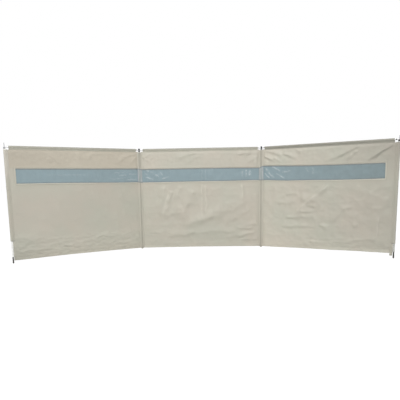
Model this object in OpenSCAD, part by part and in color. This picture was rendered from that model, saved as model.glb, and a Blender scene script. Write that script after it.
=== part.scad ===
// Beach windbreak of three fabric bays on four upright poles.
// The end bays swing about the two inner poles. Front faces -Y, +Z is up, millimetres.

/* [Layout] */
// Distance between the pole axes of one bay
bay_w = 1500; // [1000:10:1800]
// Angle of each end bay, turned towards the front from a straight line
fold = 32; // [0:0.5:80]
// Height of the hem above the ground, up to the inner poles
hem_z = 12; // [8:1:40]
// Rise of the left bay's hem towards its end pole
left_hem_rise = 18; // [0:1:60]
// Rise of the right bay's hem towards its end pole
right_hem_rise = 43; // [24:1:80]
// Height of the fabric at the inner poles, from hem to top edge
fabric_h = 1230; // [900:10:1500]

/* [Poles] */
// Radius of the pole tubes
pole_r = 9.5; // [7:0.5:14]
// Radius of the spigot pin where it carries the bar ends
pin_r = 4; // [3.8:0.1:5]
// Radius of the free end of the pin, for guy lines
tip_r = 3.5; // [3:0.1:3.7]
// Height of the outer poles' pin tips above the top edge of the fabric
pin_above = 30; // [20:1:60]
// Radius of the caps on the inner poles
cap_r = 10.5; // [8:0.5:13]
// Height of the caps above the top edge of the fabric
cap_above = 4; // [1:0.5:12]
// Radius of the collar under the pin
collar_r = 11; // [10:0.5:14]
// Height of the collar under the pin
collar_h = 14; // [8:1:25]
// Radius of the rubber feet under the outer poles
foot_r = 8; // [6:0.5:9]
// Height of the rubber feet
foot_h = 70; // [20:1:90]
// Wall of the closed pocket ends round the inner poles
pocket_end_wall = 2.4; // [1.5:0.1:4]
// Thickness of a closed pocket end below its pole
pocket_end_floor = 4; // [2:0.5:6]

/* [Ridge bars] */
// Radius of the ridge bar tubes
bar_r = 9.5; // [7:0.5:12]
// Distance from a pole axis to the end of the bar's tube
bar_setback = 30; // [24:1:40]
// Thickness of the flattened bar ends
eye_t = 3; // [2:0.5:4]
// Radius of the flattened bar ends
eye_r = 11; // [9:0.5:13]
// Width of the flat between the eye and the tube
eye_w = 14; // [10:1:18]
// Distance from a pole axis to the start of the flat's taper
eye_neck = 20; // [18:1:22]
// Length of the flat inside the tube
eye_root = 12; // [8:1:14]

/* [Fabric] */
// Thickness of the coated fabric
fabric_t = 3; // [2:0.5:4]
// Wall of the pockets round poles and bars
pocket_t = 2; // [1.5:0.5:3]
// Clearance of the pockets round poles and bars
pocket_gap = 0.3; // [0.2:0.1:1]
// Height of the ridge pocket, from the top edge to its seam
band_h = 34; // [30:1:60]
// Distance from a pole axis to the seam of its pocket
seam_x = 28; // [24:1:40]
// Distance from an inner pole axis to the end of the ridge pocket
notch_inner = 45; // [41:1:70]
// Distance from an end pole axis to the end of the ridge pocket
notch_end = 40; // [36:1:90]
// Depth of the top of the pole pockets below the top edge
notch_h = 40; // [36:1:60]
// Depth of the slanted cut at the outer top corners, below the ridge pocket
corner_cut = 20; // [10:1:40]
// Height above the ground at which the pocket of the left end pole stops
left_pocket_z = 240; // [150:1:400]
// Height above the ground at which the pocket of the right end pole stops
right_pocket_z = 158; // [150:1:400]
// Gap between an end pole and the fabric below its pocket
edge_gap = 1.5; // [1:0.5:6]
// Height of the doubled hem
hem_h = 30; // [20:1:50]
// Extra thickness of the doubled hem
hem_extra = 1; // [0.5:0.5:2]
// Clearance between an inner pole's pocket and the bay that swings on it
swing_gap = 5.5; // [5:0.5:12]

/* [Window] */
// Distance from the top edge of the fabric to the window
window_drop = 238; // [150:1:350]
// Height of the window film
window_h = 166; // [80:1:300]
// Lap of the film over the fabric
window_lap = 12; // [8:1:25]
// Thickness of the window film
film_t = 1; // [0.5:0.5:2]
// Distance from the left end pole's axis to the end of the window film
left_window_end = 88; // [70:1:300]
// Distance from the right end pole's axis to the end of the window film
right_window_end = 114; // [70:1:300]

/* [Peg loop] */
// Width of the webbing
loop_w = 25; // [15:1:30]
// Inner radius of the loop
loop_r = 11; // [9:0.5:11]
// Thickness of the webbing
strap_t = 2; // [1:0.5:2.5]
// Length of webbing stitched up the panel
tail_h = 60; // [40:1:100]
// Gap between the hem and the round of the loop
loop_drop = 2; // [1:0.5:3]
// Distance from the loop to the edge of the fabric
loop_inset = 3; // [1:1:40]

/* [Hidden] */
$fn = 48;

// Running clearance of an eye on its pin, and between two stacked eyes
pin_gap = 0.3;
// Bevel on the tip of a pin
pin_bevel = 1.5;
// Height of the thicker part of a pin above the upper bar end
pin_rise = 1;
// Clearance of a closed pocket end on its pole
pocket_end_gap = 0.1;
// What a cut reaches past the solid it cuts
past = 5;

top_z = hem_z + fabric_h;
pin_top = top_z + pin_above;
cap_top = top_z + cap_above;
bar_pocket_r = bar_r + pocket_gap + pocket_t;
pole_pocket_r = pole_r + pocket_gap + pocket_t;
bar_z = top_z - bar_pocket_r;
band_z = top_z - band_h;
pocket_top = top_z - notch_h;

// The middle bar's eyes lie on the collars of the inner poles, the end bars' eyes on top of them
lower_eye_z = bar_z - bar_r;
upper_eye_z = lower_eye_z + eye_t + pin_gap;
tip_z = upper_eye_z + eye_t + pin_rise;

hem_t = fabric_t + hem_extra;
function hem_at(x, rise) = hem_z + rise * x / bay_w;
window_top = top_z - window_drop;
window_z = window_top - window_h;
// Height of the opening in the fabric behind the film
gap_z = window_z + window_lap;
gap_top = window_top - window_lap;

// Where the fabric of a bay starts and stops, along the bay from its inner pole
swing_x = pole_pocket_r + swing_gap;
outer_x = bay_w - seam_x;
edge_x = bay_w - pole_r - edge_gap;
left_film_x = bay_w - left_window_end;
right_film_x = bay_w - right_window_end;

loop_outer_r = loop_r + strap_t;
loop_x = edge_x - loop_inset - loop_w / 2;
loop_hem_z = hem_at(loop_x, right_hem_rise);
loop_z = loop_hem_z - loop_drop - loop_outer_r;
front_shift = bay_w * sin(fold) / 2;

fabric_color = [0.74, 0.72, 0.66];
band_color = [0.62, 0.60, 0.54];
film_color = [0.57, 0.64, 0.66];
steel_color = [0.75, 0.76, 0.77];
dark_color = [0.20, 0.20, 0.20];

// ---- places ----

module middle_bay() translate([-bay_w / 2, front_shift, 0]) children();
module right_bay() translate([bay_w / 2, front_shift, 0]) rotate(-fold) children();
module left_bay() translate([-bay_w / 2, front_shift, 0]) rotate(fold) mirror([1, 0, 0]) children();
module outer_pole() translate([bay_w, 0, 0]) children();

// A flat sheet standing in the bay's plane, from x0 to x1 and z0 to z1
module standing(x0, x1, z0, z1, t) translate([x0, -t / 2, z0]) cube([x1 - x0, t, z1 - z0]);

// ---- poles ----

module pole(low_z, eye_z) {
  color(steel_color)
    translate([0, 0, low_z]) cylinder(r = pole_r, h = eye_z - collar_h - low_z);
}

// Collar under the bar ends, and the pin through them
module collar_and_pin(eye_z) {
  translate([0, 0, eye_z - collar_h]) cylinder(r = collar_r, h = collar_h);
  translate([0, 0, eye_z]) cylinder(r = pin_r, h = tip_z - eye_z);
}

module spigot(eye_z) {
  color(dark_color) {
    collar_and_pin(eye_z);
    translate([0, 0, tip_z]) cylinder(r = tip_r, h = pin_top - pin_bevel - tip_z);
    translate([0, 0, pin_top - pin_bevel])
      cylinder(r1 = tip_r, r2 = tip_r - pin_bevel, h = pin_bevel);
  }
}

module capped_spigot(eye_z) {
  color(dark_color) {
    collar_and_pin(eye_z);
    translate([0, 0, tip_z]) cylinder(r = cap_r, h = cap_top - pin_bevel - tip_z);
    translate([0, 0, cap_top - pin_bevel])
      cylinder(r1 = cap_r, r2 = cap_r - pin_bevel, h = pin_bevel);
  }
}

module foot() {
  color(dark_color) cylinder(r = foot_r, h = foot_h);
}

// Fabric cup that closes the pocket of an inner pole, up to the hem
module pocket_end() {
  color(fabric_color)
    difference() {
      cylinder(r = pole_r + pocket_end_gap + pocket_end_wall, h = hem_z);
      translate([0, 0, pocket_end_floor]) cylinder(r = pole_r + pocket_end_gap, h = hem_z);
    }
}

// Pocket round a pole, with a flat seam towards +X
module pole_pocket(z0) {
  color(fabric_color)
    difference() {
      union() {
        translate([0, 0, z0]) cylinder(r = pole_pocket_r, h = pocket_top - z0);
        standing(0, seam_x, z0, pocket_top, fabric_t);
      }
      translate([0, 0, z0 - past])
        cylinder(r = pole_r + pocket_gap, h = pocket_top - z0 + 2 * past);
    }
}

// ---- one bay, with its inner pole at the origin and its outer pole at bay_w ----

// Eye, flat and taper at one end of a bar
module flat_end(eye_z) {
  translate([0, 0, eye_z]) cylinder(r = eye_r, h = eye_t);
  translate([0, -eye_w / 2, eye_z]) cube([bar_setback + eye_root, eye_w, eye_t]);
  intersection() {
    translate([0, 0, bar_z]) rotate([0, 90, 0]) cylinder(r = bar_r, h = bar_setback);
    rotate([90, 0, 0])
      translate([0, 0, -bar_r])
        linear_extrude(height = 2 * bar_r)
          polygon([
            [eye_neck, eye_z],
            [bar_setback, bar_z - bar_r],
            [bar_setback, bar_z + bar_r],
            [eye_neck, eye_z + eye_t]
          ]);
  }
}

module eye_bore(eye_z) {
  translate([0, 0, eye_z - past]) cylinder(r = pin_r + pin_gap, h = eye_t + 2 * past);
}

module ridge_bar(eye_z) {
  color(steel_color)
    difference() {
      union() {
        translate([bar_setback, 0, bar_z])
          rotate([0, 90, 0]) cylinder(r = bar_r, h = bay_w - 2 * bar_setback);
        flat_end(eye_z);
        outer_pole() mirror([1, 0, 0]) flat_end(eye_z);
      }
      eye_bore(eye_z);
      outer_pole() eye_bore(eye_z);
    }
}

module ridge_pocket(x0, x1) {
  color(band_color)
    difference() {
      union() {
        translate([x0, 0, bar_z]) rotate([0, 90, 0]) cylinder(r = bar_pocket_r, h = x1 - x0);
        standing(x0, x1, band_z, bar_z, fabric_t);
      }
      translate([x0 - past, 0, bar_z])
        rotate([0, 90, 0]) cylinder(r = bar_r + pocket_gap, h = x1 - x0 + 2 * past);
    }
}

module panel(x0, x1, z0, z1) {
  color(fabric_color) standing(x0, x1, z0, z1, fabric_t);
}

// A flat piece standing in the bay's plane, with the outline of a polygon
module outlined(points, t)
  rotate([90, 0, 0]) translate([0, 0, -t / 2]) linear_extrude(height = t) polygon(points);

// Fabric of an end bay below the window, running on towards the end pole below its pocket
module end_lower_panel(rise, pocket_z) {
  color(fabric_color)
    outlined([
      [swing_x, hem_at(swing_x, rise) + hem_h],
      [edge_x, hem_at(edge_x, rise) + hem_h],
      [edge_x, pocket_z],
      [outer_x, pocket_z],
      [outer_x, gap_z],
      [swing_x, gap_z]
    ], fabric_t);
}

// Fabric beside the window at the outer end, with its top corner cut on a slant
module end_panel(film_x) {
  color(fabric_color)
    outlined([
      [film_x - window_lap, gap_z],
      [outer_x, gap_z],
      [outer_x, band_z - corner_cut],
      [bay_w - notch_end, band_z],
      [film_x - window_lap, band_z]
    ], fabric_t);
}

// Film on the front of the fabric
module window(x0, x1) {
  color(film_color)
    translate([x0, -fabric_t / 2 - film_t, window_z]) cube([x1 - x0, film_t, window_h]);
}

module hem(x0, x1, rise) {
  color(fabric_color)
    outlined([
      [x0, hem_at(x0, rise)],
      [x1, hem_at(x1, rise)],
      [x1, hem_at(x1, rise) + hem_h],
      [x0, hem_at(x0, rise) + hem_h]
    ], hem_t);
}

// Webbing folded round the hem, hanging below it in a round loop
module peg_loop() {
  color(band_color)
    translate([loop_x - loop_w / 2, 0, 0])
      difference() {
        union() {
          translate([0, 0, loop_z]) rotate([0, 90, 0]) cylinder(r = loop_outer_r, h = loop_w);
          translate([0, -hem_t / 2 - strap_t, loop_z])
            cube([loop_w, hem_t + 2 * strap_t, loop_hem_z + tail_h - loop_z]);
        }
        translate([-past, 0, loop_z])
          rotate([0, 90, 0]) cylinder(r = loop_r, h = loop_w + 2 * past);
        translate([-past, -hem_t / 2, loop_z])
          cube([loop_w + 2 * past, hem_t, loop_hem_z + tail_h - loop_z + past]);
      }
}

// ---- nodes ----

left_bay() outer_pole() pole(foot_h, upper_eye_z);  // pole_1
middle_bay() pole(pocket_end_floor, lower_eye_z);  // pole_2
middle_bay() outer_pole() pole(pocket_end_floor, lower_eye_z);  // pole_3
right_bay() outer_pole() pole(foot_h, upper_eye_z);  // pole_4

left_bay() outer_pole() spigot(upper_eye_z);  // spigot_1
middle_bay() capped_spigot(lower_eye_z);  // spigot_2
middle_bay() outer_pole() capped_spigot(lower_eye_z);  // spigot_3
right_bay() outer_pole() spigot(upper_eye_z);  // spigot_4

left_bay() outer_pole() foot();  // foot_1
middle_bay() pocket_end();  // foot_2
middle_bay() outer_pole() pocket_end();  // foot_3
right_bay() outer_pole() foot();  // foot_4

left_bay() outer_pole() mirror([1, 0, 0]) pole_pocket(left_pocket_z);  // pole_pocket_1
middle_bay() pole_pocket(hem_z);  // pole_pocket_2
middle_bay() outer_pole() mirror([1, 0, 0]) pole_pocket(hem_z);  // pole_pocket_3
right_bay() outer_pole() mirror([1, 0, 0]) pole_pocket(right_pocket_z);  // pole_pocket_4

left_bay() ridge_bar(upper_eye_z);  // ridge_bar_left
middle_bay() ridge_bar(lower_eye_z);  // ridge_bar_middle
right_bay() ridge_bar(upper_eye_z);  // ridge_bar_right

left_bay() ridge_pocket(notch_inner, bay_w - notch_end);  // ridge_pocket_left
middle_bay() ridge_pocket(notch_inner, bay_w - notch_inner);  // ridge_pocket_middle
right_bay() ridge_pocket(notch_inner, bay_w - notch_end);  // ridge_pocket_right

left_bay() panel(swing_x, left_film_x - window_lap, gap_top, band_z);  // upper_panel_left
middle_bay() panel(seam_x, outer_x, gap_top, band_z);  // upper_panel_middle
right_bay() panel(swing_x, right_film_x - window_lap, gap_top, band_z);  // upper_panel_right

left_bay() end_lower_panel(left_hem_rise, left_pocket_z);  // lower_panel_left
middle_bay() panel(seam_x, outer_x, hem_z + hem_h, gap_z);  // lower_panel_middle
right_bay() end_lower_panel(right_hem_rise, right_pocket_z);  // lower_panel_right

left_bay() end_panel(left_film_x);  // end_panel_left
right_bay() end_panel(right_film_x);  // end_panel_right

left_bay() window(swing_x, left_film_x);  // window_left
middle_bay() window(seam_x, outer_x);  // window_middle
right_bay() window(swing_x, right_film_x);  // window_right

left_bay() hem(swing_x, edge_x, left_hem_rise);  // hem_left
middle_bay() hem(seam_x, outer_x, 0);  // hem_middle
right_bay() hem(swing_x, edge_x, right_hem_rise);  // hem_right

right_bay() peg_loop();  // peg_loop_right
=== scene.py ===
import math

import bpy
import numpy as np
from mathutils import Matrix, Vector


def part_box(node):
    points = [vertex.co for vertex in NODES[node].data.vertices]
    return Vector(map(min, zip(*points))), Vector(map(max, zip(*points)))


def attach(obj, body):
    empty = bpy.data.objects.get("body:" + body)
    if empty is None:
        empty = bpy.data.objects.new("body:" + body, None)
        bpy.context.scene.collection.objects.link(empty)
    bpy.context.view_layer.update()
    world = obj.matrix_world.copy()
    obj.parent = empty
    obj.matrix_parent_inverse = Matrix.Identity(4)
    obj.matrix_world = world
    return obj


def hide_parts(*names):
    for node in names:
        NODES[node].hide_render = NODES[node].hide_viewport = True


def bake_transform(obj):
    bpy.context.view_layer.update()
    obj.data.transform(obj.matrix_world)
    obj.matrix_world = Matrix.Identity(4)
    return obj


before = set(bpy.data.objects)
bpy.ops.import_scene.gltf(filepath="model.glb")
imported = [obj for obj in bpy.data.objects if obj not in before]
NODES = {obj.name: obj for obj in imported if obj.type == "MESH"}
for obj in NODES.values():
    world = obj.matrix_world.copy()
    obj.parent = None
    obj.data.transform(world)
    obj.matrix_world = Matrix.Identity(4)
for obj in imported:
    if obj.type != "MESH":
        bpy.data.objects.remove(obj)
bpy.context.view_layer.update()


# ---- measures of the frame ----

def pole_axis(number):
    """Where the middle of a pole stands on the ground."""
    low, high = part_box(f"pole_{number}")
    return Vector(((low.x + high.x) / 2, (low.y + high.y) / 2, 0))


END_POLES = (1, 4)
HEM_Z, HEM_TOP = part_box("hem_middle")[0].z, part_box("hem_middle")[1].z
HEM_H = HEM_TOP - HEM_Z


class Bay:
    """One bay of fabric, measured along it from its inner pole, forwards from its plane, and up."""

    def __init__(self, side, inner, outer):
        self.side = side
        self.outer = outer
        self.body = side + "_bay"
        self.inner = pole_axis(inner)
        reach = pole_axis(outer) - self.inner
        self.width = reach.length
        self.along = reach.normalized()
        self.front = Vector((self.along.y, -self.along.x, 0))
        if self.front.y > 0:
            self.front.negate()
        hem_low, hem_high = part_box("hem_" + side)
        self.first, self.last = self.span("hem_" + side)
        slope = (hem_high.z - hem_low.z - HEM_H) / (self.last - self.first)
        self.slope = slope if outer in END_POLES else 0.0
        self.film_end = self.span("window_" + side)[1]

    def points(self, s, d, z):
        """Places in the frame, from arrays of measures along, forwards and up."""
        s, d, z = np.broadcast_arrays(s, d, z)
        flat = s[..., None] * np.array(self.along) + d[..., None] * np.array(self.front)
        flat = flat + np.array(self.inner)
        flat[..., 2] = z
        return flat

    def along_at(self, places):
        """The measures along the bay of places in the frame."""
        return (places - np.array(self.inner)) @ np.array(self.along)

    def stand_at(self, places):
        """How far forward of the bay's plane places in the frame are."""
        return (places - np.array(self.inner)) @ np.array(self.front)

    def hem_at(self, s):
        """Height of the hem's lower edge, which rises towards an end pole."""
        return HEM_Z + self.slope * s

    def span(self, node):
        """Least and greatest measure of a CAD node along the bay."""
        at = [(v.co - self.inner).dot(self.along) for v in NODES[node].data.vertices]
        return min(at), max(at)


LEFT = Bay("left", 2, 1)
MIDDLE = Bay("middle", 2, 3)
RIGHT = Bay("right", 3, 4)
BAYS = (LEFT, MIDDLE, RIGHT)

POLE_R = (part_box("pole_2")[1].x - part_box("pole_2")[0].x) / 2
FOOT_R = (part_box("foot_1")[1].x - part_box("foot_1")[0].x) / 2
FOOT_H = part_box("foot_1")[1].z
CUP_R = (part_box("foot_2")[1].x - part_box("foot_2")[0].x) / 2
COLLAR_R = (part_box("spigot_2")[1].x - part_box("spigot_2")[0].x) / 2
TOP_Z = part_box("ridge_pocket_middle")[1].z
BAND_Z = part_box("ridge_pocket_middle")[0].z
FILM_Z, FILM_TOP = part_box("window_middle")[0].z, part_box("window_middle")[1].z
GAP_Z, GAP_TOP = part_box("lower_panel_middle")[1].z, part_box("upper_panel_middle")[0].z
SLEEVE_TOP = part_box("pole_pocket_2")[1].z
SLEEVE_LOW = {number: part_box(f"pole_pocket_{number}")[0].z for number in (1, 2, 3, 4)}
BAR_LOW, BAR_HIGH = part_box("ridge_bar_middle")
BAR_R = (BAR_HIGH.z - BAR_LOW.z) / 2
BAR_Z = (BAR_HIGH.z + BAR_LOW.z) / 2

SEAM = MIDDLE.span("upper_panel_middle")[0]         # from a pole's axis to the fabric beside it
NOTCH_END = RIGHT.width - RIGHT.span("ridge_pocket_right")[1]
CORNER_CUT = 0.020      # how far the top of the fabric slants down at an outer corner
LAP = GAP_Z - FILM_Z    # how far the film lies behind the edge of the fabric
LOWEST_END = min(SLEEVE_LOW[number] for number in END_POLES) - 0.004

CLOTH = 0.0008      # thickness of the coated fabric
FILM = 0.0006       # thickness of the window film
BAR_SLEEVE_R = BAR_R + 0.0015
POLE_SLEEVE_R = POLE_R + 0.0017
LAYER = 0.0012      # half the thickness of a seam, where two layers hold the fabric
SEAM_LAP = 0.005    # how far a seam's layers lie over the fabric

CLOTH_STEP = 0.0066     # how finely the cloths, the films and the trimmings are divided
FILM_STEP = 0.0042
TRIM_STEP = 0.008


# ---- sheets ----

def smooth(x):
    """0 below 0, 1 above 1, and a soft step between."""
    x = np.clip(x, 0, 1)
    return x * x * (3 - 2 * x)


def stations(stops, step):
    """Even steps between fixed stops."""
    found = [stops[0]]
    for a, b in zip(stops, stops[1:]):
        count = max(1, round((b - a) / step))
        found.extend(a + (b - a) * (i + 1) / count for i in range(count))
    return np.array(found)


def facing(piece, aim):
    """Turns the faces of a sheet to the side that aim gives for their middles."""
    mesh = piece.data
    count = len(mesh.polygons)
    normals = np.zeros(count * 3)
    middles = np.zeros(count * 3)
    mesh.polygons.foreach_get("normal", normals)
    mesh.polygons.foreach_get("center", middles)
    side = (normals.reshape(-1, 3) * aim(middles.reshape(-1, 3))).sum()
    if side < 0:
        mesh.flip_normals()


def built(name, points, faces):
    """A new piece with soft shading, from its corners and faces."""
    mesh = bpy.data.meshes.new(name)
    mesh.from_pydata(points.tolist(), [], faces)
    mesh.polygons.foreach_set("use_smooth", [True] * len(mesh.polygons))
    mesh.update()
    piece = bpy.data.objects.new(name, mesh)
    bpy.context.scene.collection.objects.link(piece)
    return piece


def sheet(name, across, up, place, aim, keep=None):
    """A sheet of quads; across and up are its flat measures, which its UV map keeps in metres."""
    u, v = np.meshgrid(across, up)
    points = place(u, v).reshape(-1, 3)
    index = np.arange(u.size).reshape(u.shape)
    quads = np.stack([index[:-1, :-1], index[:-1, 1:], index[1:, 1:], index[1:, :-1]], -1)
    if keep is not None:
        mid_u = (u[:-1, :-1] + u[1:, 1:]) / 2
        mid_v = (v[:-1, :-1] + v[1:, 1:]) / 2
        quads = quads[keep(mid_u, mid_v)]
    quads = quads.reshape(-1, 4)
    used, quads = np.unique(quads, return_inverse=True)
    quads = quads.reshape(-1, 4)
    piece = built(name, points[used], quads.tolist())
    flat = np.stack([u.ravel()[used], v.ravel()[used]], -1)
    layer = piece.data.uv_layers.new(name="Flat")
    layer.data.foreach_set("uv", flat[quads.ravel()].astype(np.float32).ravel())
    facing(piece, aim)
    return piece


def deselect_all():
    bpy.ops.object.select_all(action="DESELECT")


def pick(*pieces):
    """Selects these pieces and nothing else, with the first one active."""
    deselect_all()
    for piece in pieces:
        piece.select_set(True)
    bpy.context.view_layer.objects.active = pieces[0]


def joined(*pieces):
    """Joins pieces into the first one."""
    pick(*pieces)
    bpy.ops.object.join()
    return pieces[0]


def apply_modifier(piece, kind, **settings):
    """Adds a modifier to a piece and applies it."""
    pick(piece)
    modifier = piece.modifiers.new(kind.title(), kind)
    for key, value in settings.items():
        setattr(modifier, key, value)
    bpy.ops.object.modifier_apply(modifier=modifier.name)


def thicken(piece, thickness):
    """Gives a sheet its thickness, half on each side."""
    apply_modifier(piece, "SOLIDIFY", thickness=thickness, offset=0)
    return piece


def mark(piece, name, rule):
    """Keeps a share from 0 to 1 at each corner of a piece, for its material."""
    places = np.zeros(len(piece.data.vertices) * 3)
    piece.data.vertices.foreach_get("co", places)
    layer = piece.data.attributes.new(name, "FLOAT", "POINT")
    layer.data.foreach_set("value", np.clip(rule(places.reshape(-1, 3)), 0, 1).astype(np.float32))


def waves(s, z, seed, length, angle, spread, count=7):
    """A soft irregular swell, from waves of about one length that run about one way."""
    draw = np.random.RandomState(seed)
    total = np.zeros(np.broadcast(s, z).shape)
    for _ in range(count):
        turn = math.radians(angle + spread * (2 * draw.rand() - 1))
        pitch = length * (0.7 + 0.8 * draw.rand())
        phase = draw.rand() * 2 * math.pi
        total += np.sin((s * math.cos(turn) + z * math.sin(turn)) * 2 * math.pi / pitch + phase)
    return total / math.sqrt(count)


def shifted(s, z, seed, most, length_s, length_z):
    """Measures moved to and fro by about most, so that no fold or crease is quite straight."""
    moved_s = s + most * waves(s, z, seed, length_s, 0, 180)
    return moved_s, z + most * waves(s, z, seed + 1, length_z, 0, 180)


class Fold:
    """One fold of the fabric, along a line from start to end, which may bow to its upper side. It
    fades out from the share fade of its length on, and its upper side is above times as wide."""

    def __init__(self, start, end, width, height, bow=0.0, fade=0.6, above=1.6):
        self.start, self.end = np.array(start), np.array(end)
        self.width, self.height, self.bow, self.fade, self.above = width, height, bow, fade, above

    def measures(self, s, z):
        """How far along the fold each place is, from 0 to 1, and how far to its upper side."""
        run = self.end - self.start
        length = math.hypot(*run)
        run = run / length
        side = -1 if run[0] < 0 else 1
        t = ((s - self.start[0]) * run[0] + (z - self.start[1]) * run[1]) / length
        away = side * ((z - self.start[1]) * run[0] - (s - self.start[0]) * run[1])
        inside = np.clip(t, 0, 1)
        return t, away - self.bow * 4 * inside * (1 - inside)

    def strength(self, t):
        """How high the fold still stands, from 0 to 1, at shares of its length."""
        return smooth((t + 0.06) / 0.18) * (1 - smooth((t - self.fade) / (1.08 - self.fade)))

    def lift(self, s, z):
        """A rounded crest, steeper on its lower side."""
        t, away = self.measures(s, z)
        spread = self.width * (0.7 + 0.6 * np.clip(t, 0, 1))
        crest = np.exp(-((away / np.where(away > 0, self.above * spread, spread)) ** 2))
        return self.height * self.strength(t) * crest

    def line(self, s, z, width):
        """A thin line along the fold, from 0 to 1."""
        t, away = self.measures(s, z)
        return self.strength(t) * np.exp(-((away / width) ** 2))


# For each bay: how far its hem is drawn up between the poles, how crumpled and how deeply folded it
# is, how deep the dents of its lowest strip (trodden) and those above the window (rumpled) are, and
# in window_sag, measures along the bay with how far the stretched fabric carries the upper and the
# lower edge of the window up there

# Left bay: nearly flat, with a few long soft folds near the hem
LEFT.drawn_up = 0.008
LEFT.crumple = 0.45
LEFT.depth = 1.3
LEFT.trodden = 0.008
LEFT.rumpled = 0.0034
LEFT.window_sag = [
    (0.05, 0.000, -0.003), (0.30, 0.000, -0.003), (0.60, 0.000, 0.002), (0.87, 0.001, 0.006),
    (1.40, 0.003, 0.008),
]
LEFT.folds = [
    Fold((0.60, 0.200), (0.20, 0.195), 0.016, 0.0045, 0.006),
    Fold((1.46, 0.270), (1.15, 0.220), 0.030, 0.0050, 0.008),
    Fold((0.98, 0.137), (0.744, 0.112), 0.018, 0.0035),
    Fold((1.44, 0.105), (1.05, 0.118), 0.020, 0.0040, 0.006),
    Fold((1.086, 1.115), (1.035, 1.059), 0.016, 0.0025),
    Fold((1.06, 1.171), (0.91, 1.011), 0.022, 0.0040),
    Fold((0.78, 1.180), (0.68, 1.040), 0.026, 0.0030),
    Fold((0.10, 1.190), (0.34, 1.060), 0.020, 0.0030),
    Fold((0.49, 1.191), (0.70, 1.091), 0.022, 0.0025, 0.01),
    Fold((0.02, 1.201), (0.27, 1.121), 0.015, 0.0035, -0.01),
    Fold((0.03, 1.160), (0.14, 1.060), 0.014, 0.0025),
    Fold((0.22, 0.531), (0.20, 0.441), 0.018, 0.0025),
    Fold((0.38, 0.095), (0.06, 0.090), 0.016, 0.0030, 0.006),
]

# Middle bay: one broad fold that sweeps down from the outer pole, short ones along the hem, and
# steep ones with two pressed creases under the window
MIDDLE.drawn_up = 0.004
MIDDLE.crumple = 1.0
MIDDLE.depth = 1.7
MIDDLE.trodden = 0.003
MIDDLE.rumpled = 0.0030
MIDDLE.window_sag = [
    (0.08, -0.0075, -0.008), (0.70, -0.007, -0.0045), (1.15, -0.008, -0.005), (1.42, -0.013, -0.002),
]
MIDDLE.folds = [
    Fold((0.53, 0.300), (1.46, 0.690), 0.065, 0.0130, -0.035, 0.35, 1.1),
    Fold((1.38, 0.500), (1.00, 0.300), 0.024, 0.0040, -0.012),
    Fold((1.20, 0.205), (0.60, 0.190), 0.028, 0.0050, 0.012),
    Fold((0.70, 0.200), (0.24, 0.180), 0.028, 0.0050, -0.010),
    Fold((1.44, 0.192), (1.02, 0.118), 0.017, 0.0040, -0.008),
    Fold((1.46, 0.115), (1.20, 0.080), 0.014, 0.0030),
    Fold((1.40, 0.245), (1.14, 0.250), 0.018, 0.0035),
    Fold((1.46, 0.300), (1.25, 0.275), 0.016, 0.0030),
    Fold((1.33, 0.170), (1.08, 0.165), 0.016, 0.0025),
    Fold((0.310, 0.790), (0.225, 0.430), 0.034, 0.0085, 0.0, 0.8),
    Fold((0.385, 0.720), (0.285, 0.390), 0.030, 0.0080, 0.0, 0.85),
    Fold((0.670, 0.740), (0.470, 0.380), 0.068, 0.0105, 0.0, 0.8),
    Fold((0.060, 0.205), (0.300, 0.200), 0.016, 0.0025),
    Fold((0.500, 0.780), (0.430, 0.600), 0.030, 0.0050),
    Fold((0.570, 0.475), (0.280, 0.400), 0.022, 0.0030),
    Fold((0.767, 0.800), (0.764, 0.400), 0.012, 0.0035, 0.0, 0.7),
    Fold((0.815, 0.790), (0.812, 0.420), 0.012, 0.0030, 0.0, 0.7),
    Fold((1.277, 0.790), (1.263, 0.600), 0.018, 0.0060),
    Fold((0.710, 1.195), (0.440, 1.108), 0.018, 0.0050),
    Fold((0.750, 1.150), (0.560, 1.070), 0.016, 0.0016),
    Fold((0.180, 1.160), (0.060, 1.080), 0.022, 0.0030),
    Fold((1.366, 1.176), (1.160, 1.153), 0.012, 0.0050),
    Fold((1.380, 1.169), (1.284, 1.137), 0.012, 0.0045),
    Fold((1.440, 1.120), (1.300, 1.060), 0.016, 0.0035),
    Fold((1.450, 1.195), (1.445, 1.020), 0.018, 0.0040),
    Fold((0.030, 1.131), (0.170, 1.206), 0.014, 0.0035),
]

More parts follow.
